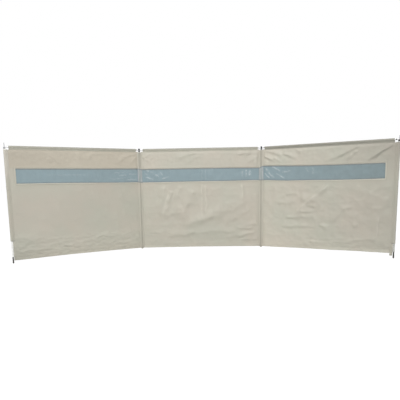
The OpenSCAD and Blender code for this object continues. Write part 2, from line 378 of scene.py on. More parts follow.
# Right bay: short folds that fan from the top of the inner pole, long ones up to the ridge,
# and a long diagonal under the window with short level folds beside it
RIGHT.drawn_up = 0.002
RIGHT.crumple = 1.5
RIGHT.depth = 1.8
RIGHT.trodden = 0.003
RIGHT.rumpled = 0.0048
RIGHT.window_sag = [
    (0.05, 0.009, -0.003), (0.22, 0.004, -0.010), (0.34, 0.000, -0.014), (0.60, -0.006, -0.011),
    (0.90, -0.007, -0.012), (1.12, -0.006, -0.010), (1.35, -0.004, -0.004),
]
RIGHT.folds = [
    Fold((0.04, 1.200), (0.29, 1.100), 0.017, 0.0075, 0.010, 0.75),
    Fold((0.03, 1.125), (0.20, 1.050), 0.015, 0.0065),
    Fold((0.28, 1.140), (0.45, 1.090), 0.018, 0.0070),
    Fold((0.16, 1.095), (0.26, 1.050), 0.012, 0.0035),
    Fold((0.60, 1.190), (0.52, 1.120), 0.014, 0.0025),
    Fold((0.86, 1.190), (0.70, 1.130), 0.013, 0.0025),
    Fold((0.42, 1.200), (0.51, 1.130), 0.012, 0.0050),
    Fold((1.13, 1.195), (0.78, 1.045), 0.015, 0.0085, -0.004, 0.7),
    Fold((1.10, 1.145), (1.00, 1.040), 0.014, 0.0050),
    Fold((1.44, 1.185), (1.19, 1.025), 0.015, 0.0085, 0.0, 0.7),
    Fold((0.80, 0.775), (0.42, 0.415), 0.055, 0.0095, 0.0, 0.8, 0.5),
    Fold((0.50, 0.610), (0.74, 0.600), 0.080, 0.0075, 0.0, 0.8, 0.8),
    Fold((0.58, 0.535), (0.70, 0.535), 0.016, 0.0035),
    Fold((0.50, 0.472), (0.71, 0.475), 0.018, 0.0045),
    Fold((0.34, 0.388), (0.72, 0.402), 0.020, 0.0055),
    Fold((0.27, 0.285), (0.66, 0.300), 0.020, 0.0055),
    Fold((0.22, 0.555), (0.47, 0.575), 0.020, 0.0040),
    Fold((0.32, 0.667), (0.50, 0.677), 0.018, 0.0030),
    Fold((1.06, 0.540), (0.85, 0.340), 0.024, 0.0065, 0.030),
    Fold((0.72, 0.320), (0.83, 0.250), 0.024, 0.0060),
    Fold((1.34, 0.440), (1.30, 0.120), 0.020, 0.0055, 0.0, 0.75),
    Fold((1.24, 0.720), (1.28, 0.480), 0.030, 0.0045, 0.0, 0.75),
    Fold((1.40, 0.640), (1.36, 0.380), 0.030, 0.0045, 0.0, 0.75),
    Fold((1.08, 0.160), (1.34, 0.185), 0.014, 0.0020),
    Fold((0.62, 0.600), (0.72, 0.585), 0.018, 0.0020),
    Fold((0.88, 0.120), (1.10, 0.125), 0.018, 0.0030),
    Fold((0.66, 0.105), (0.76, 0.100), 0.022, 0.0040),
    Fold((1.13, 0.345), (1.07, 0.315), 0.022, 0.0050),
    Fold((0.62, 0.120), (0.70, 0.066), 0.020, 0.0045),
]


def dents(s, z, seed, pitch):
    """Soft hollows between rounded ridges, like cloth that was folded away: 0 in a hollow, 1 on a
    ridge."""
    draw = np.random.RandomState(seed)
    columns, rows = int(1.6 / pitch) + 2, int(1.4 / pitch) + 2
    middles = np.array([(i, j) for i in range(columns) for j in range(rows)], float)
    middles = (middles - 0.5 + 0.8 * draw.rand(*middles.shape)) * pitch
    nearest = np.full(np.broadcast(s, z).shape, pitch)
    for middle_s, middle_z in middles:
        nearest = np.minimum(nearest, np.hypot(s - middle_s, z - middle_z))
    return nearest / pitch


# Creases pressed into the coating when it was packed, with painted highlights along them where their ridges
# would catch the light, and how strong each highlight is
CREASE_HIGHLIGHTS = {
    MIDDLE: [
        Fold((0.767, 0.800), (0.764, 0.400), 0.007, 1, 0.0, 0.8),
        Fold((0.815, 0.790), (0.812, 0.420), 0.007, 1, 0.0, 0.8),
        Fold((1.272, 0.780), (1.268, 0.610), 0.012, 1, 0.0, 0.8),
        Fold((0.350, 0.710), (0.270, 0.410), 0.014, 0.8, 0.0, 0.8),
    ],
    RIGHT: [
        Fold((0.770, 0.790), (0.700, 0.690), 0.018, 0.7, 0.0, 0.9),
        Fold((0.700, 0.680), (0.400, 0.430), 0.018, 0.7, 0.0, 0.7),
        Fold((1.125, 0.770), (1.150, 0.750), 0.014, 1, 0.0, 0.9),
        Fold((1.000, 0.500), (1.030, 0.485), 0.014, 1, 0.0, 0.9),
        Fold((1.345, 0.430), (1.325, 0.200), 0.008, 1, 0.0, 0.8),
        Fold((0.100, 1.060), (0.040, 1.080), 0.012, 1, 0.0, 0.9),
    ],
}


def bent(bay, s, z):
    """The measures by which the folds of a bay are placed, a little less bent above the window."""
    most = 0.006 - 0.002 * smooth((z - FILM_TOP) / 0.05)
    return shifted(s, z, 10 * BAYS.index(bay) + 5, most, 0.17, 0.14)


def relief(bay, s, z):
    """How far the fabric of a bay stands forward of its plane."""
    seed = 10 * BAYS.index(bay)
    bent_s, bent_z = bent(bay, s, z)
    # Folds, of uneven height
    uneven = 1 + 0.22 * waves(s, z, seed + 7, 0.11, 0, 180)
    lift = uneven * bay.depth * sum(fold.lift(bent_s, bent_z) for fold in bay.folds)
    # Broad and narrow swells
    lift = lift + 0.0024 * waves(s, z, seed + 1, 0.60, 60, 60)
    lift = lift + 0.0010 * waves(s, z, seed + 2, 0.19, 120, 50)
    # Crumpled cloth, most of all below the window
    lower = smooth((FILM_Z - z) / 0.1)
    lift = lift + bay.crumple * (0.4 + 0.6 * lower) * 0.0055 * dents(bent_s, bent_z, seed + 8, 0.12)
    lift = lift + bay.crumple * lower * 0.0034 * dents(bent_s, bent_z, seed + 4, 0.07)
    # Dents of the lowest strip, and those above the window
    lift = lift + bay.trodden * smooth((0.28 - z) / 0.06) * dents(bent_s, 2 * bent_z, seed + 9, 0.10)
    upper = smooth((z - FILM_TOP - 0.02) / 0.03)
    lift = lift + bay.rumpled * upper * dents(bent_s, bent_z, seed + 12, 0.055)
    # Long ripples above the hem
    low = 1 - smooth((z - HEM_Z) / 0.22)
    lift = lift + 0.0016 * low * waves(s, z * 2.5, seed + 3, 0.28, 75, 25)
    return lift * seam_hold(bay, s, z, 0.035) + 0.00045 * puckers(bay, s, z)


def seam_hold(bay, s, z, reach):
    """0 where the seams hold the fabric flat, and 1 at more than a reach from them."""
    held = smooth((s - SEAM) / reach) * smooth((bay.width - SEAM - s) / reach)
    return held * smooth((BAND_Z - z) / reach)


def puckers(bay, s, z):
    """Small ripples that die out away from the seams at the poles and under the ridge."""
    side = np.exp(-(s - SEAM) / 0.02) + np.exp(-(bay.width - SEAM - s) / 0.02)
    pucker = side * np.sin(z * 2 * math.pi / 0.021 + 2 * np.sin(z * 23))
    under_ridge = np.exp(-(BAND_Z - z) / 0.02) * np.sin(s * 2 * math.pi / 0.026 + 3 * np.sin(s * 17))
    return (pucker + under_ridge) * seam_hold(bay, s, z, 0.008)


def lip(bay, s, z):
    """The folded edges of the fabric above and below the window, which stand proud of the film."""
    above = z - FILM_TOP + 0.002
    below = FILM_Z + 0.002 - z
    rise = smooth(above / 0.012) * np.exp(-np.clip(above - 0.012, 0, None) / 0.020)
    rise = rise + smooth(below / 0.012) * np.exp(-np.clip(below - 0.012, 0, None) / 0.020)
    beside = 1 if bay is MIDDLE else smooth((bay.film_end + 0.02 - s) / 0.02)
    side_hold = smooth((s - SEAM) / 0.015) * smooth((bay.width - SEAM - s) / 0.015)
    return 0.0048 * rise * beside * side_hold


def window_shift(bay, s, z):
    """How far the stretched fabric carries the window and what is near it up or down."""
    along, upper, lower = zip(*bay.window_sag)
    upper, lower = np.interp(s, along, upper), np.interp(s, along, lower)
    share = np.clip((z - FILM_Z) / (FILM_TOP - FILM_Z), 0, 1)
    near = smooth((BAND_Z - 0.01 - z) / 0.17), smooth((z - FILM_Z + 0.2) / 0.18)
    return (lower + (upper - lower) * share) * near[0] * near[1]


def settled(bay, s, z, lift):
    """Places on a bay, with the hem on its slant and drawn up a little between its poles."""
    drawn = bay.drawn_up * np.sin(math.pi * np.clip(s / bay.width, 0, 1))
    drawn = drawn * (1 - smooth((z - HEM_Z) / 0.40))
    slant = bay.slope * s * (1 - smooth((z - HEM_TOP) / (LOWEST_END - HEM_TOP)))
    return bay.points(s, lift, z + drawn + slant + window_shift(bay, s, z))


def corner_top(bay, s):
    """Top of the fabric under the ridge sleeve, slanting down at an outer corner."""
    if bay is MIDDLE:
        return np.full_like(s, BAND_Z)
    start = bay.width - NOTCH_END
    return BAND_Z - CORNER_CUT * np.clip((s - start) / (bay.width - SEAM - start), 0, 1)


def forward(bay):
    """Faces turned to the front of a bay."""
    return lambda middles: np.array(bay.front)


def outward(bay):
    """Faces turned away from the plane of a bay."""
    return lambda middles: bay.stand_at(middles)[:, None] * np.array(bay.front)


def make_cloth(bay):
    """The panels above, below and beside the window, as one piece of coated fabric."""
    first = SEAM - SEAM_LAP if bay is MIDDLE else SEAM - 2 * SEAM_LAP
    last = bay.width - SEAM + SEAM_LAP
    stops = [first, last] if bay is MIDDLE else [first, bay.film_end - LAP, bay.film_end, last, bay.last]
    strip_top = SLEEVE_LOW[bay.outer] - 0.0015
    heights = [HEM_Z + 0.006, HEM_TOP, strip_top, FILM_Z - 0.012, GAP_Z, GAP_TOP, FILM_TOP + 0.012, BAND_Z]
    if bay is MIDDLE:
        heights.remove(strip_top)
    across, up = stations(stops, CLOTH_STEP), stations(heights, CLOTH_STEP)

    def place(s, z):
        share = np.clip((z - GAP_TOP) / (BAND_Z - GAP_TOP), 0, 1)
        z = np.where(z > GAP_TOP, GAP_TOP + share * (corner_top(bay, s) - GAP_TOP), z)
        return settled(bay, s, z, relief(bay, s, z) + lip(bay, s, z))

    def keep(s, z):
        window = (z > GAP_Z) & (z < GAP_TOP)
        if bay is not MIDDLE:
            window &= s < bay.film_end - LAP
        return ~window & ((s < last) | (z < strip_top))

    piece = thicken(sheet(f"cloth_{bay.side}", across, up, place, forward(bay), keep), CLOTH)
    if bay in CREASE_HIGHLIGHTS:
        mark_crease_highlights(piece, bay)
    names = [f"upper_panel_{bay.side}", f"lower_panel_{bay.side}"]
    if bay is not MIDDLE:
        names.append(f"end_panel_{bay.side}")
    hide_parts(*names)
    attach(piece, bay.body)
    return piece


def mark_crease_highlights(piece, bay):
    """Painted highlights: pale lines along the pressed creases of a bay."""
    def rule(places):
        s, z = bay.along_at(places), places[:, 2]
        broken = np.clip(0.85 + 0.35 * waves(s, z, 190 + BAYS.index(bay), 0.07, 0, 180), 0.35, 1)
        s, z = bent(bay, s, z)
        lines = [crease.height * crease.line(s, z, crease.width) for crease in CREASE_HIGHLIGHTS[bay]]
        return broken * np.max(lines, axis=0)

    mark(piece, "pressed", rule)


cloths = [make_cloth(bay) for bay in BAYS]


# ---- sleeves round the bars and poles ----

def gone_along(line):
    """How far along a line each of its points is."""
    return np.concatenate([[0], np.cumsum(np.abs(np.diff(line)))])


def wrap_line(start, end, turn, radius, neck, tail, layer, step=0.0025):
    """A line from one seam round a tube to another, as complex numbers about the tube's middle, and
    how far along it its points are. start and end are the ways to the seams, turn is 1 or -1 for the
    way round, and the seams run from neck to tail with layer on each side of their middle."""
    sweep = ((end - start) * turn) % (2 * math.pi) or 2 * math.pi
    lead = math.atan2(layer, neck) + math.acos(radius / math.hypot(neck, layer))
    first = np.exp(1j * start)
    last = np.exp(1j * end)
    count = max(6, round((sweep - 2 * lead) * radius / step))
    round_tube = start + turn * np.linspace(lead, sweep - lead, count)
    corners = [first * complex(tail, turn * layer), first * complex(neck, turn * layer)]
    corners += list(radius * np.exp(1j * round_tube))
    corners += [last * complex(neck, -turn * layer), last * complex(tail, -turn * layer)]
    line = [corners[0]]
    for a, b in zip(corners, corners[1:]):
        parts = max(1, math.ceil(abs(b - a) / (1.4 * step)))
        line.extend(a + (b - a) * (i + 1) / parts for i in range(parts))
    line = np.array(line)
    return line, gone_along(line)


def along_line(line, gone, v):
    """Points of a line at lengths v."""
    return np.interp(v, gone, line.real) + 1j * np.interp(v, gone, line.imag)


def turned_edges(at, low, high):
    """Where the turned edges at the two ends of a sleeve are thickest, from 0 to 1."""
    return np.exp(-(((at - low - 0.005) / 0.004) ** 2)) + np.exp(-(((high - 0.005 - at) / 0.004) ** 2))


def make_ridge_sleeve(bay):
    """Sleeve sewn to the top of the fabric, round the ridge bar."""
    low, high = bay.span(f"ridge_pocket_{bay.side}")
    neck = BAR_Z - BAND_Z - 0.003
    line, gone = wrap_line(-math.pi / 2, -math.pi / 2, 1, BAR_SLEEVE_R, neck, neck + 0.003 + SEAM_LAP, LAYER)
    across = stations([low, low + 0.012, high - 0.012, high], TRIM_STEP)
    seed = 50 + BAYS.index(bay)

    def place(s, v):
        at = along_line(line, gone, v)
        away_from_bar = at / np.abs(at)
        loose = smooth((neck - np.clip(-at.imag, 0, neck)) / 0.004)
        below = smooth((0.002 - at.imag) / 0.008) * loose
        swell = 0.0005 + 0.0005 * waves(s, v * 3, seed, 0.085, 20, 60)
        swell = swell + 0.0006 * below * waves(s, v, seed + 7, 0.045, 10, 30)
        swell = np.clip(swell, -0.0002, 0.0018) + 0.0004 * turned_edges(s, low, high)
        at = at + away_from_bar * swell * loose
        tail = smooth((-at.imag - neck) / 0.003)
        d = at.real + relief(bay, s, np.full_like(s, BAND_Z - 0.004)) * tail
        z = BAR_Z + np.minimum(at.imag, TOP_Z - BAR_Z - CLOTH)
        return bay.points(s, d, z)

    def aim(middles):
        up = (middles - np.array([0, 0, BAR_Z])) * np.array([0, 0, 1])
        return outward(bay)(middles) + up

    piece = thicken(sheet(f"ridge_sleeve_{bay.side}", across, gone, place, aim), CLOTH)
    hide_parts(f"ridge_pocket_{bay.side}")
    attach(piece, bay.body)
    return piece


def sleeve_swell(at, z, end_z, seed):
    """How loosely a pole sleeve stands off its pole."""
    away = np.abs(at)
    flank = smooth((away - POLE_SLEEVE_R) / 0.003) * smooth((SEAM - 0.004 - away) / 0.004)
    low = 1 - smooth((z - end_z - 0.02) / 0.07)
    swell = 0.0003 * waves(away * 2, z, seed, 0.11, 80, 30)
    swell = swell + flank * (0.0006 + 0.0008 * waves(away * 2, z, seed + 3, 0.16, 80, 25))
    swell = swell + (0.0003 + 0.0006 * flank) * low * waves(away, z, seed + 5, 0.022, 88, 12)
    return np.clip(swell, -0.0004, 0.003)


def heading(way):
    """The angle of a level way."""
    return math.atan2(way.y, way.x)


def about(axis):
    """Faces turned away from a pole."""
    return lambda middles: (middles - np.array(axis)) * np.array([1, 1, 0])


def sleeve_layer(name, axis, line, gone, low, high, seed):
    """One layer of a pole sleeve, upright, from a line round the pole."""
    up = stations([low, low + 0.010, high - 0.010, high], TRIM_STEP)

    def place(v, z):
        at = along_line(line, gone, v)
        swell = sleeve_swell(at, z, low, seed) + 0.0005 * turned_edges(z, low, high)
        flat = smooth((SEAM - 0.002 - np.abs(at)) / 0.004)
        at = at + at / np.abs(at) * swell * flat
        points = np.stack([at.real, at.imag, z], -1)
        return points + np.array([axis.x, axis.y, 0])

    return thicken(sheet(name, gone, up, place, about(axis)), CLOTH)


def mark_pole_shade(piece, axis):
    """The part of a sleeve that lies on its tube, a little wider near the top, for painted shade where the
    pole behind the thin cloth keeps light out.
    """
    def rule(places):
        away = np.hypot(places[:, 0] - axis.x, places[:, 1] - axis.y)
        wider = 0.004 * smooth((places[:, 2] - FILM_TOP + 0.05) / 0.1)
        return 1 - smooth((away - POLE_SLEEVE_R - 0.001 - wider) / 0.003)

    mark(piece, "pole_shade", rule)


NECK = SEAM - 0.004     # where the two layers of a pole sleeve meet, and where they end
TAIL = SEAM + 0.003


def crossing_ways(bay):
    """At the pole that an end bay shares: the way along the middle bay, the headings of both bays,
    and the way round the front of the pole, 1 or -1."""
    to_middle = MIDDLE.along if bay is LEFT else -MIDDLE.along
    return to_middle, heading(to_middle), heading(bay.along), -1 if bay is LEFT else 1


def make_end_sleeve(number, bay):
    """Sleeve at an outer end, folded round its pole."""
    axis = pole_axis(number)
    inward = heading(-bay.along)
    turn = 1 if (bay.front.x * -bay.along.y - bay.front.y * -bay.along.x) < 0 else -1
    line, gone = wrap_line(inward, inward, turn, POLE_SLEEVE_R, NECK, TAIL, LAYER)
    name = f"pole_sleeve_{number}"
    low = SLEEVE_LOW[number]
    piece = sleeve_layer(name, axis, line, gone, low, SLEEVE_TOP, 60 + number)
    mark_pole_shade(piece, axis)
    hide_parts(f"pole_pocket_{number}")
    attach(piece, bay.body)
    return piece


def make_inner_sleeve(number, bay):
    """Sleeve that joins two bays round the pole they share, in two layers, front and back, that wrap round
    from the middle bay to the swinging bay."""
    axis = pole_axis(number)
    name = f"pole_sleeve_{number}"
    to_middle, start, end, turn = crossing_ways(bay)
    layers, widths = [], []
    for side, way in (("front", turn), ("back", -turn)):
        line, gone = wrap_line(start, end, way, POLE_SLEEVE_R, NECK, TAIL, LAYER)
        seed = 70 + number + way
        layers.append(sleeve_layer(f"{name}_{side}", axis, line, gone, HEM_Z, SLEEVE_TOP, seed))
        widths.append(gone[-1])
    piece = joined(*layers)
    piece.name = name
    mark_pole_shade(piece, axis)
    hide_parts(f"pole_pocket_{number}")
    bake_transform(piece)
    return piece


ridge_sleeves = [make_ridge_sleeve(bay) for bay in BAYS]
pole_sleeves = [
    make_end_sleeve(1, LEFT),
    make_inner_sleeve(2, LEFT),
    make_inner_sleeve(3, RIGHT),
    make_end_sleeve(4, RIGHT),
]


# ---- window ----

FILM_STAND = 0.0014     # how far the film lies in front of the middle of the fabric
TAPE = 0.011            # width of the tape sewn over the edges of the film
TAPE_LAP = 0.002        # how far the tape lies over the film
TAPE_STAND = 0.0024     # how far the tape lies in front of the middle of the fabric

# The creases of each film
CREASES = {LEFT: [
    Fold((0.17, 0.876), (0.03, 0.871), 0.007, 0.0018, 0.0, 0.8),
    Fold((0.15, 0.938), (0.03, 0.937), 0.006, 0.0014, 0.0, 0.8),
    Fold((0.28, 0.926), (0.17, 0.925), 0.008, 0.0014, 0.0, 0.8),
    Fold((0.40, 0.885), (0.12, 0.893), 0.006, 0.0010, 0.0, 0.7),
    Fold((0.34, 0.953), (0.10, 0.968), 0.006, 0.0010, 0.0, 0.7),
    Fold((1.10, 0.930), (0.60, 0.935), 0.010, 0.0006, 0.0, 0.7),
], MIDDLE: [
    Fold((0.085, 0.990), (0.110, 0.968), 0.007, 0.0022, 0.0, 0.9),
    Fold((0.060, 0.945), (0.100, 0.928), 0.006, 0.0020, 0.006, 0.9),
    Fold((0.130, 0.975), (0.175, 0.935), 0.005, 0.0014, 0.008, 0.9),
    Fold((0.070, 0.905), (0.170, 0.872), 0.008, 0.0020, 0.0, 0.8),
    Fold((0.185, 0.932), (0.235, 0.917), 0.010, 0.0020, 0.0, 0.9),
    Fold((0.250, 0.955), (0.285, 0.938), 0.014, 0.0010, 0.0, 0.9),
    Fold((0.280, 0.882), (0.360, 0.903), 0.010, 0.0014, 0.0, 0.8),
    Fold((0.768, 0.985), (0.765, 0.850), 0.008, 0.0007, 0.0, 0.8),
    Fold((0.815, 0.985), (0.813, 0.850), 0.006, 0.0007, 0.0, 0.8),
    Fold((1.269, 0.958), (1.266, 0.886), 0.011, 0.0014, 0.0, 0.8),
    Fold((1.316, 0.978), (1.313, 0.888), 0.010, 0.0024, 0.0, 0.8),
    Fold((1.366, 0.966), (1.352, 0.900), 0.018, 0.0020, 0.0, 0.8),
], RIGHT: [
    Fold((0.145, 0.993), (0.240, 0.942), 0.009, 0.0034, 0.0, 0.9),
    Fold((0.036, 0.984), (0.154, 0.872), 0.010, 0.0018, 0.004, 0.8),
    Fold((0.050, 0.915), (0.105, 0.868), 0.009, 0.0026, 0.0, 0.9),
    Fold((0.120, 0.915), (0.175, 0.873), 0.006, 0.0020, 0.0, 0.9),
    Fold((0.195, 0.918), (0.300, 0.866), 0.008, 0.0022, 0.0, 0.85),
    Fold((0.070, 0.972), (0.100, 0.930), 0.006, 0.0016, 0.0, 0.9),
    Fold((0.260, 0.930), (0.380, 0.953), 0.013, 0.0012, 0.0, 0.8),
    Fold((0.550, 0.975), (0.590, 0.930), 0.010, 0.0008, 0.0, 0.85),
    Fold((0.630, 0.985), (0.642, 0.900), 0.014, 0.0007, 0.0, 0.85),
]}

# How white the creases of each film are: their own whitening and painted glints of light
CREASE_WHITE_AND_GLINT = {LEFT: 0.55, MIDDLE: 0.70, RIGHT: 0.80}


def wandering(bay, s, z):
    """The measures by which the creases of a film are placed."""
    return shifted(s, z, 180 + 2 * BAYS.index(bay), 0.0035, 0.06, 0.06)


def mark_crease_white_and_glints(piece, bay):
    """Thin lines along the creases, where soft film goes white and painted glints of light lie, each with a
    paler halo.
    """
    def rule(places):
        s = bay.along_at(places)
        z = places[:, 2] - window_shift(bay, s, places[:, 2])
        broken = np.clip(0.75 + 0.4 * waves(s, z, 170 + BAYS.index(bay), 0.045, 0, 180), 0, 1)
        broken = broken * np.clip(0.8 + 0.35 * waves(s, z, 175 + BAYS.index(bay), 0.014, 0, 180), 0.2, 1.2)
        bent_s, bent_z = wandering(bay, s, z)
        lines = []
        for crease in CREASES[bay]:
            core = crease.line(bent_s, bent_z, 0.4 * crease.width)
            halo = crease.line(bent_s, bent_z, crease.width)
            lines.append((0.65 * core + 0.45 * halo) * min(1, crease.height / 0.0022))
        return CREASE_WHITE_AND_GLINT[bay] * broken * np.max(lines, axis=0)

    mark(piece, "crease_white_and_glint", rule)


def film_lift(bay, s, z):
    """How far the window film stands forward of the bay's plane."""
    seed = 90 + 5 * BAYS.index(bay)
    lift = sum(crease.lift(*wandering(bay, s, z)) for crease in CREASES[bay])
    lift = lift + 0.00035 * waves(s, z * 0.3, seed, 0.055, 0, 20)
    lift = lift + 0.00025 * waves(s, z, seed + 1, 0.12, 60, 60)
    held = smooth((z - FILM_Z - 0.008) / 0.02) * smooth((FILM_TOP - 0.008 - z) / 0.02)
    held = held * smooth((s - SEAM) / 0.02)
    end = bay.film_end if bay is MIDDLE else bay.film_end - 0.010
    return relief(bay, s, z) + lift * held * smooth((end - s) / 0.02) + FILM_STAND


def make_film(bay):
    """The clear film of a bay, behind the opening of its cloth."""
    last = bay.film_end
    across = stations([SEAM, last], FILM_STEP)
    up = stations([FILM_Z, FILM_Z + 0.012, FILM_TOP - 0.012, FILM_TOP], FILM_STEP)

    def place(s, z):
        return settled(bay, s, z, film_lift(bay, s, z))

    piece = thicken(sheet(f"window_film_{bay.side}", across, up, place, forward(bay)), FILM)
    mark_crease_white_and_glints(piece, bay)
    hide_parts(f"window_{bay.side}")
    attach(piece, bay.body)
    return piece


def make_film_crossing(number, bay):
    """Film that runs on over the sleeve of a shared pole."""
    axis = pole_axis(number)
    to_middle, start, end, turn = crossing_ways(bay)
    radius = POLE_SLEEVE_R + 0.0024
    line, gone = wrap_line(start, end, turn, radius, SEAM - 0.001, SEAM, FILM_STAND, 0.0016)
    up = stations([FILM_Z, FILM_TOP], 0.005)
    middle_seam = SEAM if bay is LEFT else MIDDLE.width - SEAM

    def place(v, z):
        at = along_line(line, gone, v)
        swell = 0.0006 * waves(v, z, 120 + number, 0.020, 50, 50)
        held = smooth((SEAM - np.abs(at)) / 0.006)
        held = held * smooth((z - FILM_Z - 0.006) / 0.02) * smooth((FILM_TOP - 0.006 - z) / 0.02)
        at = at + at / np.abs(at) * np.clip(swell + 0.0004, 0, 0.002) * held
        share = smooth(v / gone[-1])
        shift = (1 - share) * window_shift(MIDDLE, middle_seam, z) + share * window_shift(bay, SEAM, z)
        return np.stack([at.real + axis.x, at.imag + axis.y, z + shift], -1)

    piece = thicken(sheet(f"window_film_over_pole_{number}", gone, up, place, about(axis)), FILM)
    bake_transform(piece)
    return piece


def make_tape(bay):
    """Tape sewn over the edges of the film."""
    last = bay.film_end + (0 if bay is MIDDLE else TAPE - TAPE_LAP)
    across = stations([SEAM, last], TRIM_STEP)
    upper, lower = FILM_TOP - TAPE_LAP, FILM_Z + TAPE_LAP

    def place(s, z):
        fold = 0.0003 * waves(s, z, 140 + BAYS.index(bay), 0.03, 0, 15)
        return settled(bay, s, z, relief(bay, s, z) + lip(bay, s, z) + TAPE_STAND + fold)

    strips = [
        sheet("tape", across, stations(edge, 0.002), place, forward(bay))
        for edge in ((upper, upper + TAPE), (lower - TAPE, lower))
    ]
    if bay is not MIDDLE:
        beside = stations([bay.film_end - TAPE_LAP, last], 0.002)
        strips.append(sheet("tape", beside, stations([lower, upper], TRIM_STEP), place, forward(bay)))
    piece = joined(*strips)
    piece.name = f"window_tape_{bay.side}"
    thicken(piece, CLOTH)
    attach(piece, bay.body)
    return piece


films = [make_film(bay) for bay in BAYS]
crossings = [make_film_crossing(2, LEFT), make_film_crossing(3, RIGHT)]
tapes = [make_tape(bay) for bay in BAYS]


# ---- hem and peg loop ----

HEM_STAND = 0.0021      # how far each layer of the hem stands from the middle of the fabric


def make_hem(bay):
    """Doubled hem, turned round the lower edge of the fabric."""
    low, high = bay.span(f"hem_{bay.side}")
    low, high = min(low, SEAM - 0.003), high + (0.003 if bay is MIDDLE else 0)
    height = HEM_TOP + 0.001 - HEM_Z - HEM_STAND
    bend = HEM_STAND * np.exp(1j * np.linspace(0, -math.pi, 9))
    side = np.linspace(height, 0, 9)[:-1] * 1j
    line = np.concatenate([HEM_STAND + side, bend, -HEM_STAND + side[::-1]])
    gone = gone_along(line)
    across = stations([low, high], TRIM_STEP)
    seed = 150 + BAYS.index(bay)

    def place(s, v):
        at = along_line(line, gone, v)
        share = np.clip(at.imag / height, 0, 1)
        full = 4 * share * (1 - share)
        z = HEM_Z + HEM_STAND + at.imag
        d = at.real * (1 + 0.25 * full * (1 + waves(s, z, seed, 0.07, 70, 40)) - 0.15 * share)
        held = smooth((s - low) / 0.01) * smooth((high - s) / 0.01)
        wave = 0.0006 * held * waves(s, z * 2, seed + 4, 0.05, 60, 30)
        return settled(bay, s, z, relief(bay, s, z) + wave + d)

    piece = thicken(sheet(f"hem_fold_{bay.side}", across, gone, place, outward(bay)), CLOTH)
    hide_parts(f"hem_{bay.side}")
    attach(piece, bay.body)
    return piece


def make_peg_loop(bay):
    """Webbing folded round the hem, hanging below it in a loop for a ground peg."""
    low, high = bay.span(f"peg_loop_{bay.side}")
    half_way = (low + high) / 2
    bottom, top = (corner.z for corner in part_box(f"peg_loop_{bay.side}"))
    webbing = 0.0017
    stand = HEM_STAND + 0.0016
    radius = 0.0120
    middle = bottom + radius + webbing / 2
    hem = bay.hem_at(half_way)
    line, gone = wrap_line(math.pi / 2, math.pi / 2, 1, radius, hem + 0.002 - middle, top - middle, stand)
    across = stations([low, high], 0.003)

    def place(s, v):
        at = along_line(line, gone, v)
        z = middle + at.imag
        below = smooth((hem - z) / 0.02)
        crown = 0.0004 * np.cos((s - half_way) * math.pi / (high - low))
        d = at.real * (1 + 0.04 * below) + np.sign(at.real) * crown * (1 - below)
        shift = 0.0012 * below * np.sin((z - middle) * 90)
        level = np.maximum(z - hem, 0) + HEM_Z
        d = d + relief(bay, np.full_like(s, half_way), level) * (1 - 0.5 * below)
        return bay.points(s + shift, d, z)

    piece = thicken(sheet(f"peg_webbing_{bay.side}", across, gone, place, outward(bay)), webbing)
    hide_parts(f"peg_loop_{bay.side}")
    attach(piece, bay.body)
    return piece


hems = [make_hem(bay) for bay in BAYS]
peg_loop = make_peg_loop(RIGHT)


# ---- stitching ----

STITCH = 0.0044         # length of a stitch, the gap after it, and half the thread's thickness
STITCH_GAP = 0.0016
THREAD_R = 0.0005
ON_CLOTH = CLOTH * 0.6  # how far a stitch stands above the middle of a layer


def bead():
    """One stitch: a short bar of thread, drawn in at both ends."""
    points = [(-0.5, 0, 0)]
    for at in (-0.3, 0.3):
        points += [(at, 1, 0), (at, 0, 1), (at, -1, 0), (at, 0, -1)]
    points.append((0.5, 0, 0))
    faces = [(0, 1 + (i + 1) % 4, 1 + i) for i in range(4)]
    faces += [(1 + i, 1 + (i + 1) % 4, 5 + (i + 1) % 4, 5 + i) for i in range(4)]
    faces += [(5 + i, 5 + (i + 1) % 4, 9) for i in range(4)]
    return np.array(points), faces


def stitch_row(points, out):
    """Stitches along a row of points, lying on the side that out gives: their corners and faces."""
    gone = np.concatenate([[0], np.cumsum(np.linalg.norm(np.diff(points, axis=0), axis=1))])
    count = int(gone[-1] / (STITCH + STITCH_GAP))
    starts = (np.arange(count) + 0.1) * gone[-1] / count
    heads = np.stack([np.interp(starts, gone, points[:, i]) for i in range(3)], -1)
    ends = np.stack([np.interp(starts + STITCH, gone, points[:, i]) for i in range(3)], -1)
    along = ends - heads
    along = along / np.linalg.norm(along, axis=1)[:, None]
    across = np.cross(out, along)
    across = across / np.linalg.norm(across, axis=1)[:, None]
    up = np.cross(along, across)
    middles = (heads + ends) / 2
    shape, faces = bead()
    corners = (
        middles[:, None]
        + along[:, None] * shape[None, :, :1] * STITCH
        + across[:, None] * shape[None, :, 1:2] * THREAD_R * 1.3
        + up[:, None] * shape[None, :, 2:] * THREAD_R
    )
    return corners.reshape(-1, 3), [
        tuple(i + len(shape) * k for i in face) for k in range(count) for face in faces
    ]


def bay_row(bay, s, z, stand, side, window=False):
    """A row of stitches on one side of a bay, along measures s and z."""
    s, z = np.broadcast_arrays(np.array(s, float), np.array(z, float))
    lift = relief(bay, s, z) + stand * side
    if window:
        lift = lift + lip(bay, s, z)
    return settled(bay, s, z, lift), np.array(bay.front) * side


